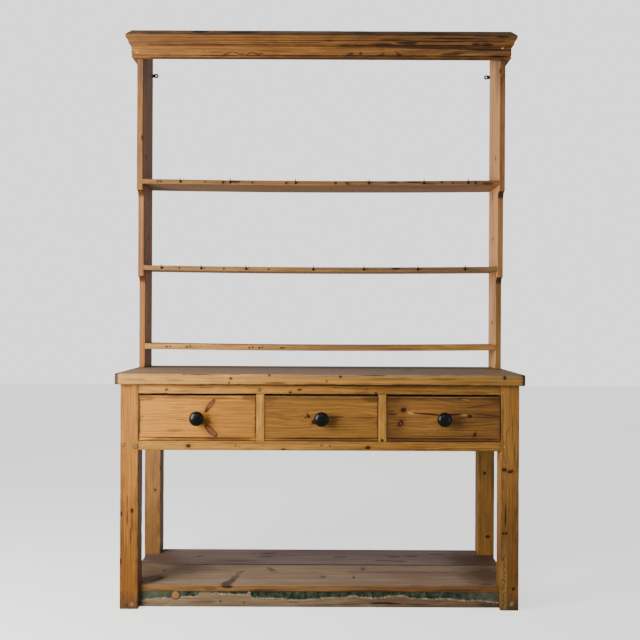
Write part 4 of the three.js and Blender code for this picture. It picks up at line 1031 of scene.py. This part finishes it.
# hooks, eyes and nails: where they go into the front edges; each has left a spot of rust.
shelves = {
    "shelf_bottom": {
        "front": rack_fronts[2], "under": 892, "thick": 22, "hues": ("d0964d", "9c6628", "b47c3c"),
        "knots": [
            (-583, 903, 3, 10, 2.6, 0), (-505, 903, 3, 10, 2.6, 0), (-262, 901, 3, 10, 2.6, 0),
            (-225, 901, 3, 10, 2.6, 0), (-140, 899, 3.4, 10, 2.6, 0)],
        # The pale wash at the left is painted light and the dark one painted shade, for the window
        # at the left.
        "washes": [
            (-470, 903, 240, 60, 40, 0, "f0ac54", 0.35), (60, 903, 300, 60, 40, 0, "8c6048", 0.45)],
        "hooks": [], "eyes": [], "nails": [-596, -518, -275, -237, -150],
    },
    "shelf_middle": {
        "front": rack_fronts[1], "under": 1198, "thick": 18,
        "hues": ("bc8a4e", "8c5e2e", "a2723e"),
        "knots": [(292, 1206, 16, 12, 3, 0)], "top_knots": [(-470, 150, 10, 8, 8, 0)],
        # The wash at the right is painted shade.
        "washes": [(420, 1206, 330, 40, 30, 0, "6a5042", 0.6)],
        "hooks": [-612, -459, -286, -28, 167, 375, 556], "eyes": [], "nails": [-543, -372, -200],
    },
    # The front edge of the top shelf is cracked and torn.
    "shelf_top": {
        "front": rack_fronts[0], "under": 1526, "thick": 18,
        "hues": ("b47c3a", "80501c", "98642c"),
        "knots": [
            (-325, 1535, 15, 10, 5, 0), (56, 1532, 4, 8, 4, 0), (462, 1536, 5, 8, 4, 0)],
        # The wash at the right is painted shade.
        "washes": [
            (-430, 1535, 290, 60, 40, 0, "6a4420", 0.22),
            (430, 1535, 290, 60, 40, 0, "84604c", 0.5)],
        "marks": [
            (276, 1532.5, 24, 8, 4, 0, "6a3e24", 0.8), (276, 1536, 26, 8, 2.2, 0, "2a140c", 0.85),
            (356, 1534.5, 34, 8, 3.2, 4, "2a140c", 0.9), (412, 1528, 36, 8, 3, -6, "4a2818", 0.85),
            (520, 1533, 40, 8, 2.2, 0, "4a2818", 0.8), (638, 1531, 24, 8, 5, 0, "4a2818", 0.85),
            (-400, 1529, 60, 8, 2.2, 0, "6a4020", 0.6), (160, 1536, 60, 8, 2.2, 0, "5a3820", 0.6)],
        "hooks": [-536, -345, -96, 183, 393, 562], "eyes": [-374, -133, 99, 590],
        "nails": [-622, -611, -441, -261, 57, 505],
    },
}
for lot, (node, shelf) in enumerate(shelves.items(), 33):
    front, under = shelf["front"], shelf["under"]
    top = under + shelf["thick"]
    rust = [(x, front, under + shelf["thick"] * 0.5 - sunk(x), 5.5, 5, 5, 0, "542412", 0.65)
            for x in shelf["hooks"] + shelf["eyes"] + shelf["nails"]]
    knots = on_edge(front, shelf["knots"]) + on_face(top, shelf.get("top_knots", []))
    # under: the shelves' undersides are painted paler and warmer, as painted light.
    finish = pine("waxed_pine_" + node, "X", "Y", (-rack_inner, front, under),
                  (rack_inner, shelf_back, top), shelf["hues"], pith=(-10, 56), spacing=4.6,
                  lot=lot, bend=26, grime=0.3, wear=0.3, under=("d0a070", 0.65), knots=knots,
                  washes=on_edge(front, shelf["washes"]),
                  marks=on_edge(front, shelf.get("marks", [])) + rust)
    rings = []
    for x, _ in stations(-rack_inner, rack_inner, 20, 0.6):
        wavy = front + 0.35 * noise.noise((x / 80, lot, 0.5))
        corners = [(wavy, under), (shelf_back, under), (shelf_back, top), (wavy, top)]
        radii = [worn(x, 0, lot, 1.8), 1.0, 1.0, worn(x, 3, lot, 2.4)]
        rings.append([(x, y, z - sunk(x)) for y, z in eased(corners, radii)])
    lofted(node + "_worn", rings, finish, "frame", "waxed_pine", node)

# --- Frieze and cornice -------------------------------------------------------------------
# A frieze board with a bead along its lower edge and a crown moulding over it, both planed by
# hand in pine and mitred round the ends. Smoke and wax have darkened them to a deep brown,
# most of all in the hollows, and their right half is painted darker still, as painted shade.


long_steps, short_steps = 72, 12


def moulding(title, profile, inner, slot, hues, lots, knots, washes, marks):
    """Runs a profile, from its lower back corner, round the front and both ends of the rack.

    The profile is how far out each point is and its height. inner is how far the back of
    the run stands out from the rack. All are in mm.
    """
    heights = [z for _, z in profile]
    lowest, tall = min(heights), max(heights)
    reach = max(out for out, _ in profile)
    face, side = rack_fronts[0] - inner, rack_outer + inner
    for part, lot in zip(("front", "left", "right"), lots):
        node = title + "_" + part
        rings = []
        if part == "front":
            low, high = (-side - reach, face - reach, lowest), (side + reach, face, tall)
            axes = "XZ"
            for k in range(long_steps + 1):
                share = 2 * k / long_steps - 1
                ring = []
                for i, (out, z) in enumerate(profile):
                    edge = 0 < i < len(profile) - 1 and out > 0
                    rub = 0.45 * noise.noise((share * 11, i * 0.7, lot)) if edge else 0
                    ring.append((share * (side + out - 0.2), face - out - rub, z + rub * 0.6))
                rings.append(ring)
        else:
            sign = -1 if part == "left" else 1
            inside, outside = sorted((sign * side, sign * (side + reach)))
            low, high = (inside, face - reach, lowest), (outside, back_face, tall)
            axes = "YZ"
            for k in range(short_steps + 1):
                share = k / short_steps
                rings.append([(sign * (side + out), back_face + (face - out - back_face) * share, z)
                              for out, z in profile])
        finish = pine("waxed_pine_" + node, *axes, low, high, hues, pith=(-14, 40), spacing=3.4,
                      lot=lot, bend=24, grime=0.4, wear=0.35, lines=0.75, washes=washes,
                      knots=knots if part == "front" else (),
                      marks=marks if part == "front" else ())
        lofted(node + "_run", rings, finish, "frame", slot, node)


frieze_thick, frieze_low, bead = 18, 2000, 5
frieze_face, quirk = rack_fronts[0] - frieze_thick, frieze_thick - bead
frieze = [(0, frieze_low), (quirk, frieze_low)]
for turn in (-70, -45, -20, 0, 20, 45, 70, 88):
    frieze.append((quirk + bead * math.cos(math.radians(turn)),
                   frieze_low + bead + bead * math.sin(math.radians(turn))))
frieze += [(quirk, frieze_low + 12), (17.4, frieze_low + 12.2), (frieze_thick, frieze_low + 13),
           (frieze_thick, rack_top), (0, rack_top)]
frieze_marks = [
    (106, 2015, 15, 5, 8, 24, "4a1c10", 0.85), (116, 2019, 8, 4, 8, -40, "5a2414", 0.8),
    (224, 2012, 15, 5, 8, 8, "4a1c10", 0.85), (234, 2018, 8, 4, 8, -40, "5a2414", 0.8),
    (289, 2020, 11, 4, 8, -30, "5a2414", 0.85), (296, 2014, 11, 5, 8, 12, "4a1c10", 0.8),
    (-355, 2018, 17, 2.6, 8, 16, "4a220c", 0.9), (-322, 2019, 15, 2.6, 8, -18, "4a220c", 0.9),
    (-302, 2015, 14, 2.4, 8, 10, "4a220c", 0.85), (-272, 2018, 14, 2.6, 8, 20, "4a220c", 0.9),
    (-250, 2018, 14, 2.6, 8, -14, "4a220c", 0.9), (-232, 2016, 13, 2.6, 8, 16, "4a220c", 0.9),
    (-400, 2022, 30, 2.4, 8, 0, "5a3016", 0.7), (-600, 2017, 30, 2.4, 8, 0, "5a3016", 0.6),
    (-640, 2030, 60, 2.2, 8, 0, "6a3c18", 0.6), (-430, 2036, 90, 2.4, 8, 0, "6a3c18", 0.5),
    (-180, 2028, 70, 2.6, 8, 0, "6a3c18", 0.6), (30, 2036, 80, 2.6, 8, 0, "5a3016", 0.6),
    (340, 2030, 90, 2.6, 8, 1, "5a3016", 0.7), (430, 2040, 110, 3, 8, 0, "33180a", 0.85),
    (625, 2036, 120, 4.4, 8, -1, "1e0f08", 0.9), (500, 2020, 44, 4.4, 8, 3, "33180a", 0.85),
    (575, 2017, 50, 2.6, 8, 2, "b08c58", 0.7), (545, 2028, 60, 2.6, 8, 2, "6a4020", 0.7),
    (660, 2009, 60, 4, 8, 0, "1e0f08", 0.9), (560, 2010, 60, 2.4, 8, 0, "33180a", 0.8),
    (340, 2045, 420, 3.4, 8, 0, "241006", 0.85), (-340, 2045, 420, 2.6, 8, 0, "4a260e", 0.6),
    (0, 2010.5, 760, 2.4, 8, 0, "3a1a0a", 0.75), (230, 2030, 150, 4, 8, 2, "c89460", 0.35),
    # The first mark on the next line, along the lower edge of the bead, is painted shade.
    (0, 2001, 760, 4.4, 12, 0, "4e2a20", 0.8), (-700, 2021, 7, 4, 8, -30, "d0a06c", 0.55),
    (687, 2041, 4.4, 3.6, 8, 0, "e8d0b0", 0.9)]
moulding("frieze", frieze, 0, "waxed_pine", ("bc8038", "7c4c1c", "98642e"), (36, 37, 38),
         knots=on_face(frieze_face, [(149, 2019, 5, 4, 14, 0)]),
         # The dark wash over the right half is painted shade.
         washes=on_face(frieze_face, [
             (480, 2050, 420, 60, 20, 0, "4c3224", 0.46),
             (0, 2040, 260, 60, 20, 0, "7a4c1c", 0.3)]),
         marks=on_face(frieze_face, frieze_marks))

# The crown moulding, upwards: a foot, a hollow, a swell, a step and a flat fillet.
crown_low = 2045
crown = [(0, crown_low), (2.6, crown_low), (3, crown_low + 0.5), (3, crown_low + 4)]
fifths = (0.2, 0.4, 0.6, 0.8, 1.0)
crown += [(3 + 7 * (1 - (1 - t) ** 2), crown_low + 4 + 12 * t * t) for t in fifths]
crown += [(10 + 7 * t * t, crown_low + 16 + 12 * (1 - (1 - t) ** 2)) for t in fifths]
crown += [(18.4, crown_low + 28), (19, crown_low + 28.8), (19, rack_top), (0, rack_top)]
crown_marks = [
    (-560, 2058, 30, 90, 2.4, 12, 0, "5a3014", 0.7),
    (-120, 2056, 30, 120, 2.6, 12, 0, "4a2410", 0.7),
    (0, 2064.5, 30, 760, 2.2, 12, 0, "3a1c0c", 0.75),
    (340, 2048, 34, 420, 3.4, 12, 0, "241006", 0.85),
    (-340, 2048, 34, 420, 2.6, 12, 0, "4a260e", 0.6),
    (-400, 2055.5, 30, 400, 2.2, 12, 0, "4a260e", 0.5),
    (226, 2053, 30, 60, 3.4, 12, 0, "33180a", 0.85), (321, 2057, 30, 44, 5, 12, 0, "1e0f08", 0.95),
    (274, 2067, 30, 60, 3, 12, 0, "33180a", 0.8), (440, 2062, 30, 110, 3.2, 12, 0, "2a1408", 0.85),
    (500, 2072, 30, 120, 3, 12, 0, "33180a", 0.8), (582, 2053, 30, 18, 4.4, 12, 0, "3a140a", 0.9),
    (630, 2052, 30, 24, 4.4, 12, 0, "3a140a", 0.9),
    (600, 2064, 30, 100, 3.2, 12, 0, "2a1408", 0.85), (688, 2078, 26, 30, 4, 12, 0, "241006", 0.9),
    # The last mark, the dark line along the top where the roof sits, is painted shadow.
    (620, 2082, 24, 60, 3.4, 12, 0, "1c0e06", 0.8), (0, 2083, 24, 780, 2.4, 10, 0, "1c0e06", 0.75)]
moulding("crown_moulding", crown, frieze_thick, "stained_pine", ("a86e2e", "683c12", "865220"),
         (39, 40, 41), knots=[(30, 2064, 24, 12, 3, 14, 0)],
         # The wash over the right half is painted shade.
         washes=[(480, 2065, 30, 420, 60, 30, 0, "74502f", 0.33)], marks=crown_marks)

# --- Roof board ---------------------------------------------------------------------------
# A 22 mm pine board, nailed down on the cornice and bevelled along the front and the ends.
# Nobody waxes it up there: it is dull, dusty and brown with smoke.
roof_half, roof_front, roof_top = 740, 24, 2105
roof_depth = back_face - roof_front
roof_marks = [
    (-461, 33, 2097, 34, 14, 6, 0, "1e1510", 0.9), (-299, 33, 2094, 60, 12, 5, 0, "1e1510", 0.85),
    (156, 33, 2093, 60, 12, 4, 0, "1e1510", 0.8), (430, 33, 2093, 90, 12, 4, 0, "1e1510", 0.85),
    # The first mark, the dark line along the foot of the bevel, is painted shadow between the roof
    # and the crown.
    (0, 24, 2084, 760, 8, 4, 0, "1e1510", 0.8), (-620, 30, 2092, 60, 12, 4, 0, "3a2c22", 0.6)]
finish = pine("smoked_pine_roof_board", "X", "Y", (-roof_half, roof_front, rack_top),
              (roof_half, back_face, roof_top), ("8a6c50", "5a4430", "725842"), pith=(30, 70),
              spacing=5.0, lot=42, grime=0.4, wear=0.15, shine=0.66, end="2a1c12",
              marks=roof_marks)
wide_steps = 74
rings = []
# How high over the rack each line of the bevel is, and how far in.
for over, inset in ((0, 0.5), (0.6, 0.0), (6, 5.2), (12, 10.7), (18, 16.2), (20.8, 18.9),
                    (21.8, 20.6), (22, 22.0)):
    level = rack_top + over
    end, front = roof_half - inset, roof_front + inset
    wide, deep = 2 * end, roof_depth - inset
    ring = [(-end + wide * k / wide_steps, front) for k in range(wide_steps)]
    ring += [(end, front + deep * k / short_steps) for k in range(short_steps)]
    ring += [(end - wide * k / wide_steps, back_face) for k in range(wide_steps)]
    ring += [(-end, back_face - deep * k / short_steps) for k in range(short_steps)]
    # The bevel is chipped, and the top has worn hollow between the harder rings.
    chipped = []
    for x, y in ring:
        chip = 1.1 * max(0.0, noise.noise((x / 40, level / 9, 4.0))) if y < 60 else 0.0
        hollow = 0.5 * max(0.0, noise.noise((x / 70, y / 30, 8.0))) if level > 2100 else 0.0
        chipped.append((x, y + chip, level - hollow))
    rings.append(chipped)
lofted("roof_board_worn", rings, finish, "frame", "weathered_pine", "roof_board")

# --- Wall plates --------------------------------------------------------------------------
# Small forged iron plates, screwed into the back edges of the rack, with an eye for a wall
# screw. The scale from the fire is black and half matt, with a little rust in the hollows.
iron, tree, shader = new_material("blacked_iron")
spot = add(tree, "TexCoord", {}).outputs["Object"]
blotch = add(tree, "TexNoise", {"Vector": spot, "Scale": 260.0, "Detail": 5.0, "Roughness": 0.6})
tone = add(tree, "ValToRGB", {0: blotch}, stops=[
    (0.35, linear("0f0e0d")), (0.55, linear("191615")), (0.72, linear("3a2418"))])
crust = add(tree, "MapRange", {"Value": blotch, "From Min": 0.35, "From Max": 0.7,
                               "To Min": 0.42, "To Max": 0.8})
hammered = add(tree, "Bump", {"Height": blotch, "Strength": 0.5, "Distance": 0.0006})
feed(shader, {"Base Color": tone, "Roughness": crust, "Normal": hammered, "Metallic": 0.75})

screw_profile = [(2.1, -2.2), (2.1, -0.6), (3.6, 0.1), (3.4, 0.7), (2.4, 1.15), (0.8, 1.3)]
screw_heights = (1975, 2009)
for node, x in (("wall_plate_left", -rack_middle), ("wall_plate_right", rack_middle)):
    softened(node, "frame", "black_iron", iron, 0.35)
    shape = bmesh.new()
    for z in screw_heights:
        turned(shape, x, back_face - 0.9, z, screw_profile, sides=20, way=1)
    fit(node + "_screws", shape, iron, "frame", "black_iron")

# --- Hooks and nails along the shelves ----------------------------------------------------
# Square-bent iron dresser hooks driven into the front edges, for cups, and the odd screw eye
# and cut nail. Each is blackened iron, a little rusty.


def wire(shape, path, radius, sides=10):
    """Adds a round wire that follows a path of points in mm."""
    rings = []
    for i, here in enumerate(path):
        here = Vector(here)
        ahead, behind = path[min(i + 1, len(path) - 1)], path[max(i - 1, 0)]
        way = (Vector(ahead) - Vector(behind)).normalized()
        across = way.cross(Vector((1, 0, 0))).normalized()
        over = way.cross(across)
        slim = radius * (0.55 if i in (0, len(path) - 1) else 1.0)
        turns = [math.tau * k / sides for k in range(sides)]
        rings.append([here + (across * math.cos(turn) + over * math.sin(turn)) * slim
                      for turn in turns])
    skin(shape, rings)


# The hooks' round feet and the nails' heads.
rose_profile = [(4.2, -0.2), (4.4, 0.2), (4.2, 1.0), (3.0, 1.6), (1.2, 1.7)]
nail_profile = [(1.3, -6), (1.3, -0.3), (2.3, 0.0), (2.2, 0.5), (1.2, 0.8), (0.4, 0.85)]
eye_radius = 4.7
for node, shelf in reversed(shelves.items()):
    front, under, thick = shelf["front"], shelf["under"], shelf["thick"]
    shape = bmesh.new()
    for i, x in enumerate(shelf["hooks"]):
        z = under + thick * 0.5 - sunk(x)
        lean = 1.2 * math.sin(i * 2.4)
        wire(shape, [
            (x, front + 9, z), (x, front - 1, z), (x, front - 5.5, z - 0.2),
            (x, front - 7.4, z + 0.6), (x + lean * 0.1, front - 8.4, z + 2.6),
            (x + lean * 0.4, front - 8.6, z + 7), (x + lean, front - 8.6, z + 13.6),
            (x + lean, front - 8.5, z + 14.6)], radius=1.6)
        turned(shape, x, front, z, rose_profile, sides=18)
    for x in shelf["eyes"]:
        z = under + thick * 0.45 - sunk(x)
        path = [(x, front + 8, z), (x, front - 1.5, z)]
        for turn in range(15, 346, 22):
            path.append((x, front - 6.2 + eye_radius * math.cos(math.radians(turn)),
                         z + eye_radius * math.sin(math.radians(turn))))
        wire(shape, path, radius=1.25)
    for x in shelf["nails"]:
        turned(shape, x, front, under + thick * 0.5 - sunk(x), nail_profile, sides=14)
    fit(node + "_hooks", shape, iron, "frame", "black_iron")

# --- Pegs and plugs -----------------------------------------------------------------------
# Cleft oak pegs through the tenons, cut off nearly flush, and a pale plug in the kickboard.
# Their end grain is darker or paler than the pine round it.
peg_box = ((-700, -210, 0), (700, -160, 800))
peg_grain = {"pith": (0, 8), "spacing": 1.6}
# places: where each peg is, and its half width.
pegs = {
    "dark": {
        "hues": ("ae8650", "785634", "926e42"), "box": peg_box, "grain": peg_grain,
        "face": front_face, "places": [
            (-683.5, 571.5, 6.5), (-640, 566.5, 7.5), (-210.5, 765, 6), (4.4, 574, 5),
            (-293, 570, 4.5), (34, 571, 4.5)]},
    "pale": {
        "hues": ("d8a868", "ae7c40", "c6925a"), "box": peg_box, "grain": peg_grain,
        "face": front_face, "places": [(640, 757.7, 4.2), (645, 568.7, 4.6), (652, 772, 3.6)]},
    "plug": {
        "hues": ("c89a62", "8a5c34", "a87a48"), "box": ((-518, -200, 27), (-488, -184, 58)),
        "grain": {"pith": (3, 4), "spacing": 4.5},
        "face": kick_front, "places": [(-502.8, 42.5, 13.4)]},
}
# As shares of the half width, and mm out from the face.
peg_profile = [(0.94, -6.0), (1.0, -5.0), (1.0, 0.2), (0.93, 0.6), (0.6, 0.85), (0.12, 0.9)]
collar_profile = [(1.22, -3.0), (1.22, 0.06), (1.16, 0.12), (0.3, 0.12)]
gaps = bmesh.new()
for title, peg in pegs.items():
    finish = pine("end_grain_of_" + title + "_pegs", "Y", "X", *peg["box"], peg["hues"],
                  **peg["grain"], lot=50 + len(title), bend=4, grime=0.0, wear=0.0,
                  end=peg["hues"][2])
    shape = bmesh.new()
    for x, z, size in peg["places"]:
        profile = [(size * share, out) for share, out in peg_profile]
        turned(shape, x, peg["face"], z, profile, sides=22, lobes=0.05)
        if size > 5.5:
            collar = [(size * share, out) for share, out in collar_profile]
            turned(gaps, x, peg["face"], z, collar, sides=22)
    fit("pegs_" + title, shape, finish, "frame", "waxed_pine")
# Old wax and dirt fill the gap round each of the larger ones.
finish = pine("dirt_round_pegs", "X", "Z", *peg_box, ("43281a", "2a170c", "352013"),
              spacing=3.0, lot=60, grime=0.0, wear=0.0, shine=0.6)
fit("gaps_round_pegs", gaps, finish, "frame", "waxed_pine")
